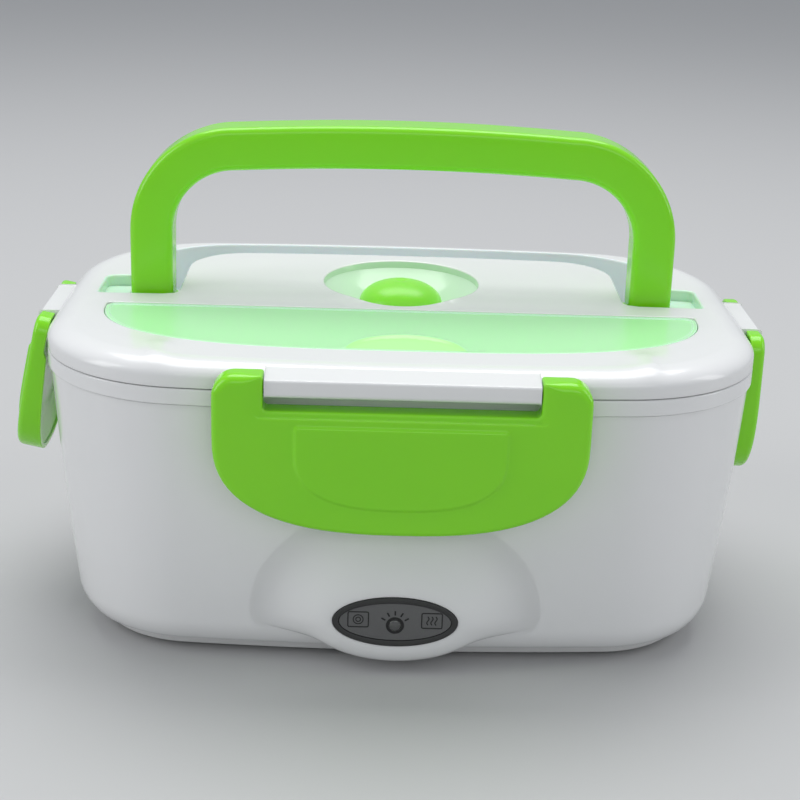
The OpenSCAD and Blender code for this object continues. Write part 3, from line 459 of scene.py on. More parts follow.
# Painted edge highlight: a mask along rounded edges, where a lighter colour is painted in as a
# highlight.
edge_highlight_group, given, wanted = node_group("edge_highlight_mask", {"Strength": 1.0}, {"Mask": 0.0})
calc = partial(maths, edge_highlight_group)
rounded_edge = edge_highlight_group.nodes.new("ShaderNodeBevel")
rounded_edge.samples = 6
rounded_edge.inputs["Radius"].default_value = 0.0012
plain = edge_highlight_group.nodes.new("ShaderNodeNewGeometry")
compare = edge_highlight_group.nodes.new("ShaderNodeVectorMath")
compare.operation = "DOT_PRODUCT"
edge_highlight_group.links.new(rounded_edge.outputs["Normal"], compare.inputs[0])
edge_highlight_group.links.new(plain.outputs["Normal"], compare.inputs[1])
bent = calc("MULTIPLY", calc("SUBTRACT", 1.0, compare.outputs["Value"]), 6.0)
mask = calc("MULTIPLY", calc("MINIMUM", bent, 1.0), given["Strength"])
edge_highlight_group.links.new(mask, wanted["Mask"])


def use(tree, group, **values):
    node = tree.nodes.new("ShaderNodeGroup")
    node.node_tree = group
    for label, value in values.items():
        node.inputs[label].default_value = value
    return node.outputs


def moulded(name, tone, drift, roughness=0.3, spread=0.1, grain=900.0, scratches=0.3, bump=0.02,
            scale=14.0, edge=None, edge_highlight_strength=0.5, **sockets):
    """Moulded plastic or rubber: drifting colour, fine skin and, where an edge colour is given, a
    painted highlight along rounded edges.
    """
    material, tree, shader = new_material(name)
    colour = use(tree, tone_group, Tone=(*tone, 1), Drift=(*drift, 1), Scale=scale)["Color"]
    surface = use(tree, skin_group, Roughness=roughness, Spread=spread, Grain=grain,
                  Scratches=scratches)
    if edge:
        mask = use(tree, edge_highlight_group, Strength=edge_highlight_strength)["Mask"]
        colour = mix(tree, mask, colour, (*edge, 1))
    tree.links.new(colour, shader.inputs["Base Color"])
    tree.links.new(surface["Roughness"], shader.inputs["Roughness"])
    bumped(tree, surface["Height"], bump, 0.001)
    for label, value in sockets.items():
        shader.inputs[label.replace("_", " ")].default_value = value
    return material


white_shell = moulded("white_shell", (0.82, 0.82, 0.815), (0.79, 0.795, 0.795), 0.2, 0.08, 700.0,
                      IOR=1.49, Coat_Weight=0.25, Coat_Roughness=0.08, Subsurface_Weight=0.12,
                      Subsurface_Radius=(1.0, 1.0, 0.95), Subsurface_Scale=0.004)


def wall_inset(z):
    """How far the drafted, slightly bulged wall stands inside the rim at a height."""
    h = shell_top_z - z
    drop = np.clip(shell_foot_z + bottom_edge_h - z, 0, bottom_edge_h)
    bottom_round = bottom_edge_r - np.sqrt(bottom_edge_r**2 - drop**2)
    return top_inset + draft * h + bulge * h * h + bottom_round


case = Skin()
foot_inset = wall_inset(shell_foot_z)
rows = [(lip_inset, shell_top_z + lip_h), (lip_inset, shell_top_z), (1.25, shell_top_z),
        (1.07, shell_top_z - 0.12)]
rows += [(wall_inset(z), z) for z in (*np.linspace(shell_top_z - 0.45, 14.5, 26),
                                      *np.linspace(14, shell_foot_z + 0.5, 9))]
rows += [(foot_inset + 0.15, shell_foot_z + 0.12), (foot_inset + 0.5, shell_foot_z),
         (foot_inset + 1.6, shell_foot_z), (foot_inset + shell_wall, shell_foot_z + 0.4)]
rows += [(wall_inset(z) + shell_wall, z) for z in (10, 20, 45, 70, shell_top_z - 3)]
rows += [(lip_inset + shell_wall, shell_top_z), (lip_inset + shell_wall, shell_top_z + lip_h)]
case.tube(plan(rows))

# The swelling: rings of an oval that start flat round the lamp, flare into the wall at
# the top and sides, and turn under the case at the bottom.
turns = np.radians(np.arange(0, 360, 3))
cos_t, sin_t = np.cos(turns), np.sin(turns)
under = smooth((-sin_t - 0.3) / 0.35)


def boss_ring(a, b, depth):
    """An oval round the lamp at a depth behind the plane of the lamp panel."""
    depth = np.broadcast_to(depth, len(turns))
    return np.column_stack((a * cos_t, lamp_y + depth, lamp_z + b * sin_t))


boss_rings = [boss_ring(lamp_a + g, lamp_b + g, d) for g, d in
              ((0.1, 4), (0.1, 0.3), (0.2, 0.08), (0.45, 0), (lamp_rim, 0))]
for u in np.arange(1, flare_steps + 1) / flare_steps:
    bend = math.radians(min(90, 110 * u))
    flare_a = lamp_a + lamp_rim + flare_out * u
    flare_b = lamp_b + lamp_rim + np.where(sin_t > 0, flare_up, flare_down) * u
    turn_a = lamp_a + lamp_rim + turn_out * math.sin(bend)
    turn_b = lamp_b + lamp_rim + turn_down * math.sin(bend)
    ring_a = flare_a + (turn_a - flare_a) * under
    ring_b = flare_b + (turn_b - flare_b) * under
    bow = (ring_a * cos_t) ** 2 / (2 * long_bow_r)
    wall_y = -(half_d - wall_inset(lamp_z + ring_b * sin_t)) + bow
    flare_depth = (wall_y - lamp_y + 0.02) * (1 - (1 - u) ** 3 * (1 + 3 * u))
    turn_depth = turn_down * (1 - math.cos(bend)) + max(0, u - 0.8) * 30
    depth = flare_depth + (turn_depth - flare_depth) * under
    boss_rings.append(boss_ring(ring_a, ring_b, depth))
boss_rings.append(boss_rings[-1] * (0.98, 1, 1) + (0, 1.5, 0))
case.solid(boss_rings)
piece("case_shell", case, [white_shell], "base", ["outer_shell"])


# ---- Inner tub ------------------------------------------------------------------
# The white tub that holds the food trays. Its rim folds outwards and down as a band
# that caps the case shell; the lid's seal presses on the rim's flat top.

band_z = shell_top_z + 0.3
ledge_z = 84.5
tub_floor_z = 26


tub = Skin()
tub_profile = filleted([
    (18, tub_floor_z - 2, 0), (13.2, tub_floor_z + 1, 1.5), (7.8, ledge_z - 2, 1),
    (5.2, ledge_z - 0.6, 1), (5.2, rim_z - 1.8, 0.6), (1.5, rim_z - 1.8, 0.2),
    (1.5, band_z, 0.2), (0, band_z, 0.35), (0, rim_z, 0.55), (7, rim_z, 0.9),
    (7, ledge_z, 0.5), (9.6, ledge_z, 0.9), (15, tub_floor_z, 4), (19, tub_floor_z, 0)], 4)
tub.solid(plan(tub_profile))
piece("inner_tub_skin", tub, [white_shell], "base", ["inner_tub"])


# ---- Bottom cover ---------------------------------------------------------------
# Shallow white tray that closes the case from below, fixed by four screws in round
# wells, with a row of air slots under the heater. It shows as a thin edge in front.

white_base = moulded("white_base", (0.74, 0.74, 0.73), (0.7, 0.7, 0.69), 0.42, 0.1, 1600.0,
                     bump=0.06, IOR=1.49)
foot_h = 1.5
cover_inset = foot_inset + shell_wall + 0.3
cover_top = foot_h + 2.2
screw_x, screw_y, screw_well_r = 84, 44, 3.4
screw_seat_z = foot_h + 2.4
slot_pitch, slot_w, slot_l, slot_r = 7, 2.5, 36, 1.2
four_corners = [(sx, sy) for sx in (-1, 1) for sy in (-1, 1)]


def box_ring(w, h, r, x=0, y=0):
    """A rectangle with rounded corners round a middle point."""
    return filleted([(x - w / 2, y - h / 2, r), (x + w / 2, y - h / 2, r),
                     (x + w / 2, y + h / 2, r), (x - w / 2, y + h / 2, r)])


cover = Skin()
cover_rows = filleted([
    (cover_inset + 5.5, foot_h, 0), (cover_inset + 2.6, foot_h, 1.4),
    (cover_inset + 1.4, shell_foot_z - 0.6, 0.5), (cover_inset, shell_foot_z + 0.2, 0.5),
    (cover_inset, shell_foot_z + 4, 0.3), (cover_inset + 1.8, shell_foot_z + 4, 0.3),
    (cover_inset + 3.4, cover_top, 1.2), (cover_inset + 6.5, cover_top, 0)], 4)
cover_rings = cover.loft(plan(cover_rows))
low_holes, high_holes = [], []
for i in range(-4, 5):
    mouth = box_ring(slot_w, slot_l, slot_r, i * slot_pitch)
    low, high = cover.loft(stack(mouth, ((0, foot_h), (0, cover_top))))
    low_holes.append(low)
    high_holes.append(high)
for sx, sy in four_corners:
    well = arc(sx * screw_x, sy * screw_y, screw_well_r, 0, 360, 32)[:-1]
    made = cover.loft(stack(well, ((0.4, foot_h), (0, foot_h + 0.4), (0, screw_seat_z))))
    cover.face(made[-1])
    low_holes.append(made[0])
cover.patch(cover_rings[0], low_holes, step=6)
cover.patch(cover_rings[-1], high_holes, step=6)
piece("base_cover", cover, [white_base], "base", ["bottom_cover"])


# ---- Cover screws ---------------------------------------------------------------
# Four pan-head steel screws with a cross slot, driven up into the tub's bosses.

def metal(name, colour, roughness, grain_scale, stretch):
    """Bare metal with a drawn or turned grain along one direction."""
    material, tree, shader = new_material(name)
    grain = noise(tree, grain_scale, 5.0, stretch)
    tone = mix(tree, grain, (*colour, 1), (*(0.72 * c for c in colour), 1))
    rough = maths(tree, "ADD", maths(tree, "MULTIPLY", grain, 0.22), roughness)
    tree.links.new(tone, shader.inputs["Base Color"])
    tree.links.new(rough, shader.inputs["Roughness"])
    bumped(tree, grain, 0.12, 0.0004)
    shader.inputs["Metallic"].default_value = 1
    return material


steel = metal("steel", (0.6, 0.6, 0.61), 0.22, 900.0, (1, 1, 0.1))
cross = filleted([(x, y, 0.2) for x, y in (
    (-0.5, -1.6), (0.5, -1.6), (0.5, -0.5), (1.6, -0.5), (1.6, 0.5), (0.5, 0.5),
    (0.5, 1.6), (-0.5, 1.6), (-0.5, 0.5), (-1.6, 0.5), (-1.6, -0.5), (-0.5, -0.5))], 2)
screw_rows = [(0, 10), (1.2, 9), (1.2, 0), (2.9, 0), (2.9, -0.9), (2.6, -1.5), (2.1, -1.75)]
screws = Skin()
for sx, sy in four_corners:
    centre = (sx * screw_x, sy * screw_y)
    rim = screws.lathe([(r, screw_seat_z + z) for r, z in screw_rows], centre, 40)
    made = screws.loft(stack(
        cross + centre, ((0, screw_seat_z - 1.75), (-0.12, screw_seat_z - 0.9))))
    screws.patch(rim, [made[0]], step=1)
    screws.face(made[1])
piece("cover_screws_steel", screws, [steel], "base", ["cover_screws"])


# ---- Feet -----------------------------------------------------------------------
# Four dark rubber pads pressed onto the bottom cover, with a shallow dish below.

rubber = moulded("foot_rubber", (0.045, 0.045, 0.045), (0.06, 0.06, 0.06), 0.7, 0.1, 1800.0,
                 bump=0.15, IOR=1.5)
foot_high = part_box("feet")[1] / MM
foot_r = 6
feet = Skin()
for sx, sy in four_corners:
    feet.lathe([(0, foot_h), (foot_r, foot_h), (foot_r, 0.6), (foot_r - 0.2, 0.2),
                (foot_r - 0.6, 0), (foot_r - 1.6, 0), (foot_r - 2, 0.25), (0, 0.3)],
               (sx * (foot_high.x - foot_r), sy * (foot_high.y - foot_r)), 48)
piece("rubber_feet", feet, [rubber], "base", ["feet"])


# ---- Lamp bezel -----------------------------------------------------------------
# Black oval frame pressed into the swelling, a hair proud of it, with soft edges.

black_plastic = moulded("black_plastic", (0.028, 0.028, 0.028), (0.036, 0.036, 0.036), 0.3, 0.1,
                        1400.0, bump=0.05, IOR=1.49)
rim_black = 2
bezel = Skin()
bezel.tube([boss_ring(lamp_a - g, lamp_b - g, d) for g, d in (
    (0, 2.4), (0, -0.15), (0.1, -0.32), (0.35, -0.4), (rim_black - 0.45, -0.34),
    (rim_black - 0.1, -0.2), (rim_black, 0.05), (rim_black, 2.4))])
piece("lamp_frame", bezel, [black_plastic], "base", ["lamp_bezel"])


# ---- Lamp panel -----------------------------------------------------------------
# Dark grey satin oval inside the frame, round the lens, with plain raised signs in
# black: a plate on the left, steam on the right and light rays above the lens.

grey_plastic = moulded("grey_plastic", (0.11, 0.11, 0.111), (0.125, 0.125, 0.125), 0.42, 0.08,
                       2200.0, bump=0.08)
sign_black = moulded("sign_black", (0.006, 0.006, 0.006), (0.01, 0.01, 0.01), 0.6, 0.1, 2000.0)
lens_r = 1.9
lens_middle = (0, -1.2)
panel_gap = 0.1
sign_x, sign_y, sign_half, sign_h, sign_foot = 11.9, 0.7, 3.3, 0.08, -0.05
front_plane = Matrix(((1, 0, 0, 0), (0, 0, -1, lamp_y * MM), (0, 1, 0, lamp_z * MM),
                      (0, 0, 0, 1)))

panel = Skin()
panel_a, panel_b = lamp_a - rim_black - panel_gap, lamp_b - rim_black - panel_gap
oval = np.column_stack((panel_a * cos_t, panel_b * sin_t))
panel_rings = panel.loft(stack(oval, ((0, -1), (0, -0.1), (-0.1, 0))))
lens_hole = arc(*lens_middle, lens_r + panel_gap, 0, 360, 40)[:-1]
hole_rings = panel.loft(stack(lens_hole, ((0, 0), (0, -1))))
panel.patch(panel_rings[-1], [hole_rings[0]], step=2)
panel.patch(panel_rings[0], [hole_rings[-1]], step=4)

signs = Skin()


def closed_sign(path, width):
    """A raised line of the given width along a closed flat path."""
    signs.tube(stack(path, ((-width / 2, sign_foot), (-width / 2, sign_h), (width / 2, sign_h),
                            (width / 2, sign_foot))))


def open_sign(path, width):
    """A raised line of the given width along an open flat path."""
    path = np.asarray(path, float)
    ahead = np.gradient(path, axis=0)
    ahead /= np.linalg.norm(ahead, axis=1)[:, None]
    side = np.column_stack((-ahead[:, 1], ahead[:, 0])) * width / 2
    ribbon = np.concatenate((path + side, (path - side)[::-1]))
    signs.solid([level(ribbon, sign_foot), level(ribbon, sign_h)])


for side in (-1, 1):
    closed_sign(box_ring(2 * sign_half, 1.6 * sign_half, 0.5, side * sign_x, sign_y), 0.36)
for radius in (0.75, 1.6):
    closed_sign(arc(-sign_x, sign_y, radius, 0, 360, 30)[:-1], 0.3)
wave_y = np.linspace(-1.5, 1.5, 16)
for offset in (-1.3, 0, 1.3):
    wave_x = sign_x + offset + 0.34 * np.sin(wave_y * 2.2)
    open_sign(np.column_stack((wave_x, sign_y + wave_y)), 0.34)
closed_sign(arc(*lens_middle, lens_r + 0.6, 0, 360, 48)[:-1], 0.85)
for angle in np.radians((30, 60, 90, 120, 150)):
    ray = np.array((math.cos(angle), math.sin(angle)))
    open_sign([lens_middle + ray * along for along in (3.6, 4.3, 5.1)], 0.5)
piece("lamp_panel_face", panel, [grey_plastic], "base", ["lamp_panel"],
      place=front_plane)
piece("lamp_signs", signs, [sign_black], "base", place=front_plane)


# ---- Lamp lens ------------------------------------------------------------------
# Small clear grey dome over the indicator light, held by its flange from behind.

lens_grey = moulded("lens_grey", (0.07, 0.07, 0.07), (0.085, 0.085, 0.085), 0.16, 0.04, 800.0,
                    bump=0.01, IOR=1.49, Coat_Weight=0.5)
lens_h, flange_r, flange_low, flange_high = 0.65, lens_r + 0.5, -1.6, -1.02
lens_profile = [(0, flange_low), (flange_r, flange_low), (flange_r, flange_high),
                (lens_r, flange_high), (lens_r, -0.1)]
lens_profile += [(lens_r * math.cos(a), lens_h * math.sin(a))
                 for a in np.radians(np.arange(8, 90, 10))]
lens = Skin()
lens.lathe([*lens_profile, (0, lens_h)], lens_middle, 40)
piece("lamp_dome", lens, [lens_grey], "base", ["lamp_lens"], place=front_plane)


# ---- Power inlet ----------------------------------------------------------------
# Black two-pin inlet pushed through the rear wall, with a rounded flange and a well
# in the shape of an eight round its two nickelled pins.

inlet_low, inlet_high = (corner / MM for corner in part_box("power_inlet"))
inlet_z = (inlet_low.z + inlet_high.z) / 2
inlet_depth = 17.2
pin_pitch, pin_r, well_r, well_depth, well_open = 8.6, 1.18, 3.6, 12, 133.8
rear_plane = Matrix(((-1, 0, 0, 0), (0, 0, 1, inlet_high.y * MM), (0, 1, 0, inlet_z * MM),
                     (0, 0, 0, 1)))

inlet = Skin()
made = inlet.loft([level(box_ring(w, h, r), z) for w, h, r, z in (
    (20, 9.6, 0.8, -inlet_depth), (20, 9.6, 0.8, -1.2), (26, 13, 2.6, -1.2),
    (26, 13, 2.6, -0.35), (25.7, 12.7, 2.45, -0.1), (25.2, 12.2, 2.2, 0))])
inlet.face(made[0])
eight = np.concatenate((
    arc(pin_pitch / 2, 0, well_r, -well_open, well_open, 30),
    arc(-pin_pitch / 2, 0, well_r, 180 - well_open, 180 + well_open, 30)))
well = inlet.loft(stack(eight, ((0.25, 0), (0, -0.25), (0, -well_depth))))
inlet.patch(made[-1], [well[0]], step=2)
inlet.face(well[-1])
piece("mains_inlet", inlet, [black_plastic], "base", ["power_inlet"],
      place=rear_plane)

nickel = metal("nickelled_brass", (0.78, 0.68, 0.45), 0.18, 1200.0, (1, 0.08, 1))
pins = Skin()
for side in (-1, 1):
    pins.lathe([(0, -inlet_depth), (pin_r, -inlet_depth), (pin_r, -2.5), (pin_r - 0.12, -2.1),
                (pin_r - 0.45, -1.85), (0, -1.8)], (side * pin_pitch / 2, 0), 32)
piece("inlet_contacts", pins, [nickel], "base", ["inlet_pins"], place=rear_plane)


# ---- Heater ---------------------------------------------------------------------
# The aluminium plate in the tub's floor, with the ceramic heater, mica, clamp, fuse
# and leads below it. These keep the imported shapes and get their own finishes.

def dress(node, material):
    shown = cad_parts[node]
    shown.data.materials.clear()
    shown.data.materials.append(material)
    shown.data.polygons.foreach_set("use_smooth", [True] * len(shown.data.polygons))
    shown.data.set_sharp_from_angle(angle=math.radians(30))


def turned_aluminium():
    """Aluminium with the rings that a lathe tool leaves."""
    material = metal("turned_aluminium", (0.8, 0.8, 0.8), 0.25, 500.0, (1, 1, 1))
    tree = material.node_tree
    waves = tree.nodes.new("ShaderNodeTexWave")
    waves.wave_type = "RINGS"
    waves.rings_direction = "Z"
    waves.inputs["Scale"].default_value = 420
    waves.inputs["Distortion"].default_value = 0.6
    tree.links.new(object_point(tree), waves.inputs["Vector"])
    relief = next(n for n in tree.nodes if n.type == "BUMP")
    tree.links.new(waves.outputs["Fac"], relief.inputs["Height"])
    return material


plate_metal = turned_aluminium()
silicone = moulded("silicone", (0.76, 0.78, 0.76), (0.72, 0.75, 0.73), 0.45, 0.08, 900.0,
                   Subsurface_Weight=0.15, Subsurface_Radius=(0.4, 0.4, 0.4),
                   Subsurface_Scale=0.004)
mica = moulded("mica", (0.5, 0.42, 0.28), (0.38, 0.31, 0.2), 0.4, 0.2, 500.0, scale=120.0)
wire_cover = moulded("wire_cover", (0.05, 0.05, 0.05), (0.07, 0.07, 0.07), 0.5, 0.1, 1500.0)
board_green = moulded("circuit_board", (0.04, 0.16, 0.08), (0.06, 0.22, 0.11), 0.35, 0.1, 600.0,
                      scale=400.0)
for node, material in {
    "heating_plate": plate_metal, "plate_seal": silicone, "ptc_heater": plate_metal,
    "mica_sheet": mica, "heater_clamp": steel, "clamp_screws": steel, "thermal_fuse": nickel,
    "wiring": wire_cover, "led_board": board_green, "indicator_led": lens_grey,
}.items():
    dress(node, material)


# ---- Food tray ------------------------------------------------------------------
# Loose white tray that hangs by its rim on the tub's ledge, with a rounded foot ring.

tray_white = moulded("tray_plastic", (0.79, 0.8, 0.775), (0.76, 0.775, 0.75), 0.25, 0.08, 900.0,
                     IOR=1.49)
tray_low, tray_high = (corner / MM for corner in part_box("food_tray"))
tray_z, tray_top_z = tray_low.z, tray_high.z
tray_t = 1.4
tray = Skin()
tray_rows = filleted([
    (22, tray_z, 0), (16.8, tray_z, 3), (10.4, ledge_z, 0.6), (7.3, ledge_z, 0.4),
    (7.3, tray_top_z, 0.5), (11, tray_top_z, 0.8), (12, ledge_z - 1.5, 0.8),
    (17.9, tray_z + tray_t, 4), (24, tray_z + tray_t, 0)])
tray.solid(plan(tray_rows))
piece("food_tray_skin", tray, [tray_white], "base", ["food_tray"])


# ---- Small tray and its lid -----------------------------------------------------
# A removable box for salad or fruit that stands in the food tray, closed by a thin
# pale green lid with a pull tab.

small_low, small_high = (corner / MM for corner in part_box("small_tray"))
small_x = (small_low.x + small_high.x) / 2
small_w, small_d = small_high.x - small_low.x - 3, small_high.y - small_low.y - 3
small_r = 12
centre_small = Matrix.Translation((small_x * MM, 0, 0))


def small_rings(rows):
    """Rings of the small tray's plan, one for each row of (distance outwards, z)."""
    return [level(spaced(box_ring(small_w + 2 * out, small_d + 2 * out, small_r + out), 8), z)
            for out, z in rows]


small = Skin()
small.solid(small_rings(filleted([
    (-4, small_low.z, 0), (0, small_low.z, 2), (0, small_high.z - 2, 0.4),
    (1.5, small_high.z - 2, 0.4), (1.5, small_high.z, 0.5), (-tray_t, small_high.z, 0.5),
    (-tray_t, small_low.z + tray_t, 3), (-6.5, small_low.z + tray_t, 0)])))
piece("small_tray_skin", small, [tray_white], "base", ["small_tray"],
      place=centre_small)

# The pale green's lighter edge colour is a painted highlight along its rounded edges.
pale_green = moulded("pale_green", (0.42, 0.9, 0.42), (0.47, 0.93, 0.45), 0.24, 0.06, 800.0,
                     bump=0.015, edge=(0.78, 1.0, 0.92), edge_highlight_strength=1.0, IOR=1.49,
                     Subsurface_Weight=0.25, Subsurface_Radius=(0.3, 1.0, 0.3),
                     Subsurface_Scale=0.004)
lid_low, lid_high = (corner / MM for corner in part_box("small_tray_lid"))
plate_top, wall_in = lid_high.z - 2.8, -tray_t - 0.2
tab_y = -small_d / 2 + 7.6
small_lid = Skin()
small_lid.solid(small_rings(filleted([
    (-8, lid_low.z + 2.4, 0), (-4, lid_low.z + 2.4, 0.4), (-4, lid_low.z, 0.3),
    (wall_in, lid_low.z, 0.3), (wall_in, lid_low.z + 3, 0.3), (1.5, lid_low.z + 3, 0.3),
    (1.5, plate_top, 0.4), (-0.5, plate_top, 0.3), (-1.2, plate_top - 0.5, 0.3),
    (-8, plate_top - 0.5, 0)], 4)))
tab = filleted([(-7, tab_y, 0.8), (7, tab_y, 0.8), (6, tab_y + 3.4, 1.2), (-6, tab_y + 3.4, 1.2)])
small_lid.solid(stack(tab, ((0, plate_top - 0.8), (0, lid_high.z - 0.5), (-0.4, lid_high.z))))
piece("small_tray_cover", small_lid, [pale_green], "base", ["small_tray_lid"],
      place=centre_small)


# ---- Lid ------------------------------------------------------------------------
# Glossy white moulding with a broad rounded edge. A channel takes the folded handle,
# a dish holds the vent plug, a D-shaped store takes the spoon, and a hinge bar on
# each side carries a latch.

lid_foot_z = rim_z + 0.3
lid_top_z = rim_z + 8.6
lid_round_w, lid_round_h = 9.5, 5
lid_low_z, lid_under_z = 88.4, 99.9
channel_floor_z = 90
plug_inset = 7.4
crown, rear_rise, platform_rise = 0.5, 0.9, 1.0
pivot_y, vent_y = 7.6, 19
handle_half_w, handle_bar, handle_reach, handle_corner = 95.2, 15.6, 63.8, 37
pocket_x, pocket_front_y, pocket_rear_y = 106, -1.5, 21
shelf_z, shelf_edge = lid_top_z - 3.6, 0.4
platform_x = handle_half_w - handle_bar - 1.6
platform_r = handle_corner - handle_bar
platform_rear_y = pivot_y + handle_reach - handle_bar - 0.9
groove_x = handle_half_w + 1.2
groove_rear_y = pivot_y + handle_reach + 0.7
dish_r, dish_floor_r, dish_z = 28, 15.5, lid_top_z - 7.5
bowl_r, bowl_h, vent_hole_r = dish_r - 0.1, 7.2, 4.2
spoon_half_w, spoon_rear_y, spoon_d, spoon_tip_r = 101, -12.5, 48.5, 1.5
store_floor_z = channel_floor_z + 2
cover_top_z = lid_top_z - 0.25
wide_bar, side_bar = 42, 17
latch_y, latch_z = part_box("front_latch")[0].y / MM + 5.8, lid_top_z - 4.2
side_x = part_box("right_latch")[1].x / MM - 4.0
# Looks of the lid: plain white; the dish with painted reflection and shade; the channel with
# painted shade.
shell_look, painted_dish_look, painted_channel_look = 0, 1, 2


def bowed(x, y):
    """A point on a line that bows with the long sides of the case."""
    return (x, y - x * x / (2 * long_bow_r))


def channel_ring():
    """Outline of the handle's channel: its outer side with the pockets, and the platform."""
    cx, px = groove_x - handle_corner, platform_x - platform_r
    outer_y, inner_y = bowed(cx, groove_rear_y)[1], bowed(px, platform_rear_y)[1]
    outer = [(pocket_x, pocket_front_y, 1.4), (pocket_x, pocket_rear_y, 3),
             (groove_x, pocket_rear_y + 1, 2)]
    outer += [(*p, 0) for p in arc(cx, outer_y - handle_corner, handle_corner, 0, 90, 18)]
    outer += [(*bowed(x, groove_rear_y), 0) for x in np.linspace(cx, 0, 10)[1:]]
    inner = [(platform_x, pocket_front_y, 1.4)]
    inner += [(*p, 0) for p in arc(px, inner_y - platform_r, platform_r, 0, 90, 14)]
    inner += [(*bowed(x, platform_rear_y), 0) for x in np.linspace(px, 0, 9)[1:]]
    left = [(-x, y, r) for x, y, r in outer[-2::-1] + inner]
    return spaced(filleted(outer + left + inner[-2::-1]), 4)


def spoon_ring(tip_r, gap=0.0):
    """Half of the D is a tip arc and a flattened curve; the other half mirrors it."""
    w, rear = spoon_half_w - 0.4 * gap, spoon_rear_y - gap
    curve = np.radians(np.linspace(0, 90, 61)[1:])
    reach = spoon_d - 4 - 0.4 * gap
    half = np.concatenate((
        arc(w - tip_r, rear - tip_r, tip_r, 90, 0, 8),
        np.column_stack((w * np.cos(curve) ** 0.62,
                         spoon_rear_y - 4 - reach * np.sin(curve) ** 0.9)),
    ))
    half[-1, 0] = 0
    return spaced(np.concatenate((half, half[-2::-1] * (-1, 1)))[::-1], 4)


store_edge = spaced(spoon_ring(spoon_tip_r), 1)


def lid_height(x, y):
    """Height of the lid's upper side: a faint crown that rises to the rear, a raised
    platform, and a slope that falls from it to the level of the spoon cover."""
    x, y = np.atleast_1d(x), np.atleast_1d(y)
    top = lid_top_z + crown * (1 - (x / half_w) ** 2) * (1 - (y / half_d) ** 2)
    top += rear_rise * smooth((y - 5) / 60)
    on_platform = smooth((platform_x + 3 - np.abs(x)) / 4)
    top += platform_rise * on_platform * smooth((platform_rear_y + 3 - y) / 4)
    away = np.hypot(x[:, None] - store_edge[:, 0], y[:, None] - store_edge[:, 1]).min(axis=1)
    away *= ~within(np.column_stack((x, y)), store_edge)
    basin = 1 - smooth((away - 0.6) / 10)
    ramp = smooth((9 - y) / 20) * smooth((platform_x + 2 - np.abs(x)) / 12)
    ramp *= smooth((np.hypot(x, y - vent_y) - dish_r - 0.9) / 1.4)
    return top - (top - cover_top_z - 0.08) * (1 - (1 - basin) * (1 - ramp))


lid = Skin()
edge_rows = [(2.6, lid_foot_z + 0.3), (2.4, lid_foot_z), (0.45, lid_foot_z),
             (0.13, lid_foot_z + 0.13), (0, lid_foot_z + 0.45), (0, lid_foot_z + 2),
             (0, lid_top_z - lid_round_h - 0.6)]
edge_rows += [(lid_round_w * (1 - math.cos(a)), lid_top_z - lid_round_h * (1 - math.sin(a)))
              for a in np.radians(np.arange(0, 91, 5))]
rings = plan([(plug_inset, lid_low_z), (plug_inset, lid_under_z - 0.3),
              (plug_inset - 0.3, lid_under_z), (2.7, lid_under_z), (2.6, lid_under_z - 0.3)])
for inset, z in edge_rows:
    flat = outline(inset)
    raised = max(0.0, 1 - (lid_top_z - z) / lid_round_h) ** 1.5
    rings.append(level(flat, z + (lid_height(*flat.T) - lid_top_z) * raised))
lid_rings = lid.loft(rings)


def sunk(ring, round_r, floor_z, floor_r):
    """A hollow under a ring: soft upper edge, upright wall, filleted floor. Returns its rings."""
    made = []
    for a in np.radians(np.linspace(0, 90, 6)):
        edge = grow(ring, round_r * (1 - math.sin(a)))
        made.append(level(edge, lid_height(*edge.T) - round_r * (1 - math.cos(a))))
    for a in np.radians(np.linspace(0, 90, 5)):
        made.append(level(grow(ring, -floor_r * (1 - math.cos(a))),
                          floor_z + floor_r * (1 - math.sin(a))))
    return lid.loft(made)


store_rings = sunk(spoon_ring(spoon_tip_r), 0.5, store_floor_z, 1.0)
lid.patch(store_rings[-1], step=6)
lid.look = painted_channel_look
channel_rings = sunk(channel_ring(), 0.75, channel_floor_z, 1.2)
lid.patch(channel_rings[-1], step=5)
front, rear = pocket_front_y - shelf_edge, pocket_rear_y + shelf_edge
for side in (-1, 1):
    near, far = side * (groove_x + shelf_edge), side * (pocket_x + shelf_edge)
    shelf = filleted([(near, front, 0.6), (far, front, 1), (far, rear, 3), (near, rear, 0.6)])
    lid.solid(stack(shelf, ((0, channel_floor_z - 0.5), (0, shelf_z - 0.6),
                            (-side * 0.18, shelf_z - 0.18), (-side * 0.6, shelf_z))))
lid.look = shell_look


def round_ring(radius):
    """A circle round the vent."""
    return arc(0, vent_y, radius, 0, 360, 120)[:-1]


dish_rings = []
for grown, drop in ((1, 0), (0.5, -0.05), (0.15, -0.18), (-0.1, -0.45)):
    flat = round_ring(dish_r + grown)
    dish_rings.append(level(flat, lid_height(*flat.T) + drop))
dish_top = lid.loft(dish_rings)
lid.look = painted_dish_look
bowl = [level(round_ring(dish_floor_r + (bowl_r - dish_floor_r) * u), dish_z + bowl_h * u**1.35)
        for u in np.linspace(0.97, 0, 14)]
bowl += [level(round_ring(r), z) for r, z in (
    (14, dish_z), (vent_hole_r + 0.4, dish_z), (vent_hole_r + 0.1, dish_z - 0.3),
    (vent_hole_r, lid_low_z))]
bowl_rings = lid.loft(bowl)
lid.strip(dish_top[-1], bowl_rings[0])
lid.look = shell_look
lid.patch(lid_rings[-1], [channel_rings[0], store_rings[0], dish_top[0]], lid_height, 3.0)
lid.patch(lid_rings[0], [bowl_rings[-1]], step=8)


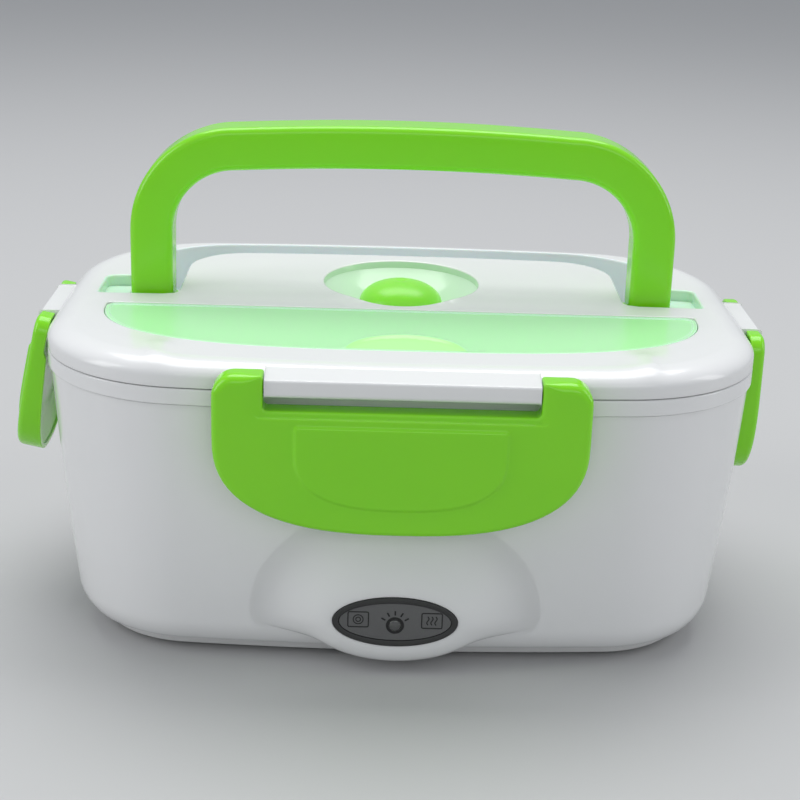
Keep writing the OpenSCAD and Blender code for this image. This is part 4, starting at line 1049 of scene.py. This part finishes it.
def hinge_bar(matrix, half, front, rear, top_rear, top_front):
    """A bar along X with a sloping top, an upright front and softened ends."""
    section = filleted([(rear, -3.2, 0), (rear, top_rear, 0), (-front, top_front, 0.8),
                        (-front, -3.3, 1.6), (0.5, -3.3, 0.3)], 6)
    ends = [(-half, 0.45), (-half + 0.12, 0.14), (-half + 0.45, 0)]
    ends += [(-x, inset) for x, inset in ends[::-1]]
    lid.solid([[matrix @ Vector((x, *p)) for p in grow(section, inset)] for x, inset in ends])


at_front = Matrix.Translation((0, latch_y, latch_z))
at_rear = Matrix.Translation((0, -latch_y, latch_z)) @ Matrix.Rotation(math.pi, 4, "Z")
at_right = Matrix.Translation((side_x, 0, latch_z)) @ Matrix.Rotation(math.pi / 2, 4, "Z")
at_left = Matrix.Translation((-side_x, 0, latch_z)) @ Matrix.Rotation(-math.pi / 2, 4, "Z")
hinge_bar(at_front, wide_bar, front=3.5, rear=5, top_rear=4.1, top_front=2.4)
hinge_bar(at_rear, wide_bar, front=3.5, rear=5, top_rear=2.4, top_front=0.8)
for matrix in (at_right, at_left):
    hinge_bar(matrix, side_bar, front=2.5, rear=4, top_rear=1.3, top_front=1.2)

# The dish of the white lid is painted pale green and darker: a painted green reflection of the
# vent plug and painted shade in the hollow.
dish_painted_reflection = moulded("dish_painted_reflection", (0.62, 0.82, 0.62), (0.6, 0.8, 0.61), 0.16, 0.06, 700.0,
                     IOR=1.49)
# The channel's white is a darker, bluer copy of the lid's white: painted shade in the channel.
channel_white_painted_shade = moulded("channel_white_painted_shade", (0.76, 0.8, 0.82), (0.73, 0.78, 0.8), 0.22, 0.08, 700.0,
                     IOR=1.49, Subsurface_Weight=0.12, Subsurface_Scale=0.004)
# Painted green reflection of the legs on the channel's white beside them.
tree = channel_white_painted_shade.node_tree
calc = partial(maths, tree)
split = tree.nodes.new("ShaderNodeSeparateXYZ")
tree.links.new(object_point(tree), split.inputs["Vector"])
painted_leg_reflection = calc("SUBTRACT", calc("ABSOLUTE", split.outputs["X"]), 0.09)
painted_leg_reflection = calc("MINIMUM", calc("MULTIPLY", painted_leg_reflection, 120.0), 1.0)
painted_leg_reflection = calc("MAXIMUM", painted_leg_reflection, 0.0)
base_colour = tree.nodes["Principled BSDF"].inputs["Base Color"]
plain_tone = base_colour.links[0].from_socket
tree.links.new(mix(tree, painted_leg_reflection, plain_tone, (0.68, 0.88, 0.75, 1)), base_colour)
piece("lid_top", lid, [white_shell, dish_painted_reflection, channel_white_painted_shade], "lid", ["lid_shell"])


# ---- Lid liner and seal ---------------------------------------------------------
# The liner is a flat white plate clipped under the lid; the seal is a silicone ring
# with two soft lips that presses on the tub's rim.

liner_low_z, liner_sunk_z, tube_hole_r = 86.6, 87.1, 6
seal_top_z, seal_low_z, seal_lip_z = 99.8, 97.6, 97.15
liner = Skin()
liner_rings = liner.loft(plan(filleted([
    (plug_inset + 2, lid_low_z, 0), (plug_inset, lid_low_z, 0.2),
    (plug_inset, liner_low_z, 0.8), (plug_inset + 4, liner_low_z, 0.6),
    (plug_inset + 5, liner_sunk_z, 0.6), (plug_inset + 8, liner_sunk_z, 0)], 4)))
tube_hole = round_ring(tube_hole_r)
hole = liner.loft(stack(tube_hole, ((0, liner_sunk_z), (0, lid_low_z))))
liner.patch(liner_rings[-1], [hole[0]], step=8)
liner.patch(liner_rings[0], [hole[1]], step=8)
piece("liner_plate", liner, [white_base], "lid", ["lid_liner"])

seal = Skin()
seal.tube(plan(filleted([
    (2.5, seal_top_z, 0.2), (2.5, seal_low_z, 0.3), (3.1, seal_lip_z, 0.3),
    (4.3, seal_low_z, 0.4), (5.4, seal_low_z, 0.4), (6.6, seal_lip_z, 0.3),
    (7.3, seal_low_z, 0.3), (7.3, seal_top_z, 0.2)], 3)))
piece("seal_ring", seal, [silicone], "lid", ["lid_gasket"])


# ---- Handle ---------------------------------------------------------------------
# One lime green polypropylene bow with soft edges. Its grip is deeper than its legs,
# and each leg turns on a stud in the side of the lid's platform.

# The lighter lime along rounded edges is a painted highlight.
lime = moulded("lime_gloss", (0.22, 0.72, 0.008), (0.25, 0.76, 0.01), 0.2, 0.07, 700.0,
               bump=0.015, scale=20.0, edge=(0.42, 0.93, 0.08), edge_highlight_strength=0.55, IOR=1.49,
               Subsurface_Weight=0.12, Subsurface_Radius=(0.35, 1.0, 0.1),
               Subsurface_Scale=0.005, Coat_Weight=0.1, Coat_Roughness=0.06)
pivot_z = lid_top_z - 3.8
leg_depth, grip_depth, leg_rear, leg_slim = 15, 18, 8.3, 0.8
grip_bulge, grip_half = 0.3, 38
front_face = leg_rear - leg_depth
bar_half = (handle_bar - leg_slim) / 2
bow_r = handle_corner - bar_half
bow_x = handle_half_w - handle_corner
bow_z = bowed(bow_x, handle_reach - bar_half)[1] - bow_r
leg_in, stud_r = handle_half_w - handle_bar, 2


def handle_stations():
    """(x, z, turn in radians, share of grip depth) from the right pivot to the middle."""
    leg = [(handle_half_w - bar_half, z, 0, 0.3 * (z / bow_z) ** 1.5)
           for z in np.linspace(0, bow_z, 22)[:-1]]
    bend = [(bow_x + bow_r * math.cos(a), bow_z + bow_r * math.sin(a), a,
             0.3 + 0.7 * float(smooth(a / 1.57))) for a in np.linspace(0, math.pi / 2, 26)[:-1]]
    grip = [(*bowed(x, handle_reach - bar_half), math.pi / 2, 1.0)
            for x in np.linspace(bow_x, 0, 20)]
    return leg + bend + grip


def handle_section(x, z, turn, share):
    """Section of the bow at a station. The rear of the grip's middle is a little bulged."""
    rear = leg_rear + (grip_depth - leg_depth) * share
    rear += grip_bulge * float(smooth((grip_half - x) / 12))
    section = filleted([
        (bar_half, front_face + 0.25, 2.6), (bar_half, rear, 3.2), (-bar_half, rear, 3.2),
        (-bar_half, front_face + 0.25, 2.6), (-bar_half * 0.3, front_face, 0),
        (bar_half * 0.3, front_face, 0)], 6)
    return [(x + q[0] * math.cos(turn), q[1], z + q[0] * math.sin(turn)) for q in section]


handle = Skin()
half_rings = [handle_section(*s) for s in handle_stations()]
handle.solid(half_rings + [[(-x, y, z) for x, y, z in r] for r in half_rings[-2::-1]])
leg_end = filleted([(-6.3, 0.6, 0), (-6.3, -3.8, 0),
                    *((*p, 0) for p in arc(0, 0, 8.1, 218, 360, 24)), (8.1, 0.6, 0)], 2)
for side in (-1, 1):
    handle.solid([[(side * x, *p) for p in grow(leg_end, -inset)] for x, inset in (
        (leg_in + 0.2, 0.5), (leg_in + 0.6, 0.1), (leg_in + 1.2, 0),
        (handle_half_w - 1.2, 0), (handle_half_w - 0.6, 0.1), (handle_half_w - 0.2, 0.5))])
    handle.lathe([(0, leg_in - 5), (stud_r - 0.4, leg_in - 5), (stud_r, leg_in - 4.6),
                  (stud_r, leg_in + 2), (0, leg_in + 2)],
                 matrix=Matrix.Rotation(side * math.pi / 2, 4, "Y"), sides=32)
pivot = Matrix.Translation((0, pivot_y * MM, pivot_z * MM))
piece("carry_handle", handle, [lime], "handle", ["handle"], place=pivot, sharp=50)


# ---- Vent plug ------------------------------------------------------------------
# Soft bright green silicone dome that lies in the dish, with a stem in the vent hole
# and a small thumb hollow on top.

green_soft = moulded("green_soft", (0.27, 0.8, 0.045), (0.31, 0.85, 0.06), 0.3, 0.08, 900.0,
                     bump=0.02, Subsurface_Weight=0.3, Subsurface_Radius=(0.4, 1.0, 0.15),
                     Subsurface_Scale=0.006)
plug_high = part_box("vent_plug")[1].z / MM
plug_z = dish_z + 0.3
stem_r, dome_r, dome_foot = 3.8, 15, 0.8
dome_h = plug_high - plug_z - dome_foot
plug_profile = [(0, plug_z - 6.5), (stem_r - 0.6, plug_z - 6.5), (stem_r, plug_z - 5.6),
                (stem_r, plug_z - 0.2), (stem_r + 0.4, plug_z), (dome_r - 0.4, plug_z),
                (dome_r, plug_z + 0.3), (dome_r, plug_z + dome_foot)]
plug_profile += [(dome_r * math.cos(a), plug_z + dome_foot + dome_h * math.sin(a))
                 for a in np.radians(np.arange(4, 80, 4))]
plug_profile += [(2.2, plug_high - 0.02), (1.6, plug_high - 0.25), (0.8, plug_high - 0.45),
                 (0, plug_high - 0.5)]
plug = Skin()
plug.lathe(plug_profile, (0, vent_y), 72)
piece("vent_dome", plug, [green_soft], "vent_plug", ["vent_plug"])


# ---- Spoon cover ----------------------------------------------------------------
# Pale green translucent plate that closes the spoon store. A raised border runs round
# it, a half-moon thumb rest is sunk at the front, and two pins carry its rear edge.

# The thumb rest's lighter, yellower green is painted: the glow of light through the thinner
# plastic there.
thumb_rest_painted_glow = moulded("thumb_rest_painted_glow", (0.47, 0.93, 0.34), (0.5, 0.95, 0.37), 0.24, 0.06, 800.0,
                      bump=0.015, IOR=1.49)
cover_gap, cover_tip_r = 0.35, 4
border_w, border_h = 1.7, 0.35
rest_x, rest_y, rest_r, rest_h = 1, spoon_rear_y - spoon_d - 1, 20, 0.75
rib_out, rib_in, rib_top_z, rib_low_z = -2.4, -3.8, cover_top_z - 1.5, cover_top_z - 4
hinge_y, hinge_z, pin_foot, pin_tip = -20, lid_top_z - 2.2, 96, 101.7


def cover_height(x, y):
    """The cover's face inside its border, with the sunk thumb rest and the lip round it."""
    from_rest = np.hypot(x - rest_x, y - rest_y)
    lip = np.exp(-(((from_rest - rest_r) / 0.55) ** 2)) * 0.3
    return cover_top_z - border_h - rest_h * smooth((rest_r - 0.6 - from_rest) / 1.6) + lip


border = spoon_ring(cover_tip_r, cover_gap)
inner_edge = grow(border, -border_w)
cover_rings = stack(border, (
    (0, cover_top_z - 1.6), (0, cover_top_z - 0.45), (-0.13, cover_top_z - 0.13),
    (-0.45, cover_top_z), (-border_w + 0.35, cover_top_z)))
flap = Skin()
flap_rings = flap.loft([*cover_rings, level(inner_edge, cover_height(*inner_edge.T))])
flap.face(flap_rings[0])
rest_lines = []
for radius in (rest_r + 0.9, rest_r + 0.3, rest_r - 0.4, rest_r - 1.2, rest_r - 2.2):
    span = math.degrees(math.acos((inner_edge[:, 1].min() + 0.8 - rest_y) / radius))
    line = arc(rest_x, rest_y, radius, 90 - span, 90 + span, 40)
    rest_lines.append(line[within(line, grow(inner_edge, -0.5))])
flap.patch(flap_rings[-1], height=cover_height, step=2.6, lines=rest_lines)
for i, corners in enumerate(flap.faces):
    middle = np.mean([flap.points[c] for c in corners], axis=0)
    in_rest = math.hypot(middle[0] - rest_x, middle[1] - rest_y) < rest_r - 0.4
    if len(corners) == 3 and in_rest:
        flap.looks[i] = 1
flap.tube(stack(border, (
    (rib_out, rib_top_z), (rib_out, rib_low_z), (rib_in, rib_low_z), (rib_in, rib_top_z))))
for side in (-1, 1):
    pin = Matrix.Translation((0, hinge_y, hinge_z)) @ Matrix.Rotation(side * math.pi / 2, 4, "Y")
    flap.lathe([(0, pin_foot), (0.9, pin_foot), (0.9, pin_tip - 0.2), (0.7, pin_tip),
                (0, pin_tip)], matrix=pin, sides=20)
piece("spoon_flap", flap, [pale_green, thumb_rest_painted_glow], "spoon_cover",
      ["spoon_cover"])


# ---- Spoon ----------------------------------------------------------------------
# Plain pale plastic spoon that lies in the store: a shallow bowl, a narrow neck and a
# handle that widens to its end.

spoon_plastic = moulded("spoon_plastic", (0.76, 0.82, 0.74), (0.73, 0.8, 0.72), 0.28, 0.08, 900.0)
spoon_low, spoon_high = (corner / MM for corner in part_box("spoon"))
spoon_y = (spoon_low.y + spoon_high.y) / 2
spoon_t, spoon_bowl_x, spoon_bowl_l, spoon_bowl_w, spoon_bowl_h = 1.3, 48, 26, 12.6, 3.0
stem_w, stem_end = 4.6, 4.6
around = np.linspace(0, 2 * math.pi, 28, endpoint=False)
end_x = spoon_low.x + np.array((0, 0.3, 1, 2.2, 4))
tip_turn = np.radians(np.linspace(172, 0, 22))
tip_x = spoon_bowl_x + spoon_bowl_l - spoon_bowl_l * (1 + np.cos(tip_turn))
spoon_rings = []
for x in sorted((*end_x, *np.linspace(-50, 20, 15), *tip_x)):
    bowl_u = np.clip((x - spoon_bowl_x) / spoon_bowl_l, -1, 1)
    bowl_half = spoon_bowl_w * math.sqrt(max(0.0, 1 - bowl_u * bowl_u))
    stem_half = stem_w - float(smooth((x + 30) / 60))
    stem_half *= math.sqrt(max(0.02, 1 - max(0.0, (spoon_low.x + stem_end - x) / stem_end) ** 2))
    w = max(bowl_half, stem_half if x < 44 else 0.4)
    hollow = spoon_bowl_h * float(smooth((bowl_half - 5) / 7))
    base_z = spoon_low.z + 3.2 - hollow + hollow * np.cos(around) ** 2
    spoon_rings.append(np.column_stack((
        np.full(len(around), x), spoon_y + np.cos(around) * w,
        base_z + spoon_t / 2 * (1 + np.sin(around)))))
spoon = Skin()
spoon.solid(spoon_rings)
piece("table_spoon", spoon, [spoon_plastic], "lid", ["spoon"])


# ---- Latches --------------------------------------------------------------------
# Four lime green clips with ears that turn on studs in the hinge bars, a raised thumb
# pad, a set-back strip under the bar and a hook behind. The left one hangs ajar.

ear_gap, end_power, skin_t = 0.35, 0.77, 1.8
left_ajar = math.radians(12)
wide = dict(half=58, bar_half=wide_bar, front=5, rear=3.2, ear_top=4, drop=47.3, straight=15.6,
            pad_half=33.4, pad_top=-10.8, pad_low=-39.0, lip=3.7, slot_z=-7.1, step_z=-9.1,
            edge_r=3.0, wall=4.5, stud_r=1.3, pad_lift=0.8, floor_back=9)
low_ears = {**wide, "ear_top": 1.2, "stud_r": 0.8}
narrow = dict(half=28.2, bar_half=side_bar, front=2.4, rear=2.6, ear_top=1.4, drop=52,
              straight=17, pad_half=21.0, pad_top=-10, pad_low=-44.0, lip=2.6, slot_z=-6.4,
              step_z=-8.3, edge_r=1.6, wall=3.6, stud_r=0.8, pad_lift=1.6, floor_back=0.6)


def curve_end(half, straight, drop):
    """Lower end of a latch: a flattened half oval from the left side round to the right."""
    a = np.radians(np.linspace(180, 0, 41))
    x = half * np.sign(np.cos(a)) * np.abs(np.cos(a)) ** end_power
    z = -straight - (drop - straight) * np.abs(np.sin(a)) ** end_power
    return np.column_stack((x, z))


def latch_skin(half, bar_half, front, rear, ear_top, drop, straight, pad_half, pad_top, pad_low,
               lip, slot_z, step_z, edge_r, wall, stud_r, pad_lift, floor_back):
    """A latch in its own frame: it turns on the X axis, -Y is outwards, and it hangs down.
    The skin is drawn with its face in XY and its depth in Z, then turned upright."""
    skin = Skin()
    ear_in = bar_half + ear_gap
    ear_r = min(7, (half - ear_in) * 0.55)
    corners = [(half, 2 - straight, 0), (half, ear_top, ear_r), (ear_in, ear_top, 0.9),
               (ear_in, slot_z, 1.4), (-ear_in, slot_z, 1.4), (-ear_in, ear_top, 0.9),
               (-half, ear_top, ear_r), (-half, 2 - straight, 0)]
    lower = curve_end(half, straight, drop)
    shape = spaced(np.concatenate((filleted(corners, 8), lower)), 2.5)

    def face(x, z):
        """The face, with the strip between the ears set back."""
        strip = smooth((z - step_z + 0.25) / 0.5) * smooth((ear_in + 2.5 - np.abs(x)) / 2.5)
        return front - 0.8 * strip

    def back(z):
        """The rear edge: clear of the lid and band above, close to the sloping wall below."""
        return -rear - (wall - rear - 0.077 * (z + 10)) * smooth((-9.8 - z) / 1.2)

    # The edge is rounder at the ears' tops and sharper at their inner corners.
    round_r = 2.0 + (edge_r - 2.0) * smooth((shape[:, 1] + 2) / 4)
    near_bar = 1 - smooth((np.abs(shape[:, 0]) - ear_in - 1) / 4.5)
    round_r -= (shape[:, 1] > 2 - straight) * (round_r - 0.8) * near_bar
    rings = []
    for a in np.radians(np.linspace(90, 0, 8)):
        ring = grow(shape, -round_r * (1 - math.cos(a)))
        rings.append(level(ring, face(*ring.T) - round_r * (1 - math.sin(a))))
    for grown, lift in ((0, 0.35), (-0.1, 0.1), (-0.35, 0), (-1.5, 0), (-1.75, 0.15)):
        ring = grow(shape, grown)
        rings.append(level(ring, back(ring[:, 1]) + lift))
    inner = grow(shape, -skin_t)
    rings.append(level(inner, np.minimum(front - 2.6, back(inner[:, 1]) + floor_back)))
    made = skin.loft(rings)
    skin.patch(made[-1], step=6)

    pad = spaced(filleted([
        (pad_half, pad_top, 2.0), (-pad_half, pad_top, 2.0),
        *((*p, 0) for p in curve_end(pad_half, 9 - pad_top, -pad_low))], 6), 2.5)
    pad_made = skin.loft(stack(pad, [(inwards, front + lift * pad_lift) for inwards, lift in (
        (0, 0), (-0.35, 0.1), (-0.7, 0.4), (-1.05, 0.75), (-1.4, 0.94), (-1.8, 1))]))
    skin.patch(pad_made[-1], step=4)
    run = np.linspace(-ear_in - 1.5, ear_in + 1.5, 60)
    lines = [level(run, step_z + dz) for dz in (-1.2, -0.3, -0.1, 0.1, 0.3, 0.8)]
    skin.patch(made[0], [pad_made[0]], face, 2.6, lines)
    upright = Matrix(((1, 0, 0), (0, 0, -1), (0, 1, 0)))
    skin.points = [tuple(upright @ Vector(p)) for p in skin.points]

    hook = filleted([(2 - front, -10.1, 0), (2 - front, -11.7, 0), (lip - 1.2, -11.5, 0.5),
                     (lip, -10.6, 0.3), (lip, -10.1, 0.3)], 3)
    skin.solid([[(x, *p) for p in grow(hook, inset)] for x, inset in (
        (-bar_half, -0.3), (-bar_half + 0.4, 0), (bar_half - 0.4, 0), (bar_half, -0.3))])
    for side in (-1, 1):
        skin.lathe([(0, ear_in - 3.5), (stud_r - 0.3, ear_in - 3.5), (stud_r, ear_in - 3.2),
                    (stud_r, ear_in + 1.5), (0, ear_in + 1.5)],
                   matrix=Matrix.Rotation(side * math.pi / 2, 4, "Y"), sides=28)
    return skin


for name, matrix, sizes, node in (
    ("latch_front", at_front, wide, "front_latch"),
    ("latch_rear", at_rear, low_ears, "rear_latch"),
    ("latch_right", at_right, narrow, "right_latch"),
    ("latch_left", at_left @ Matrix.Rotation(-left_ajar, 4, "X"), narrow, "left_latch"),
):
    placed = matrix.copy()
    placed.translation *= MM
    piece(name, latch_skin(**sizes), [lime], node, [node], place=placed, sharp=50)
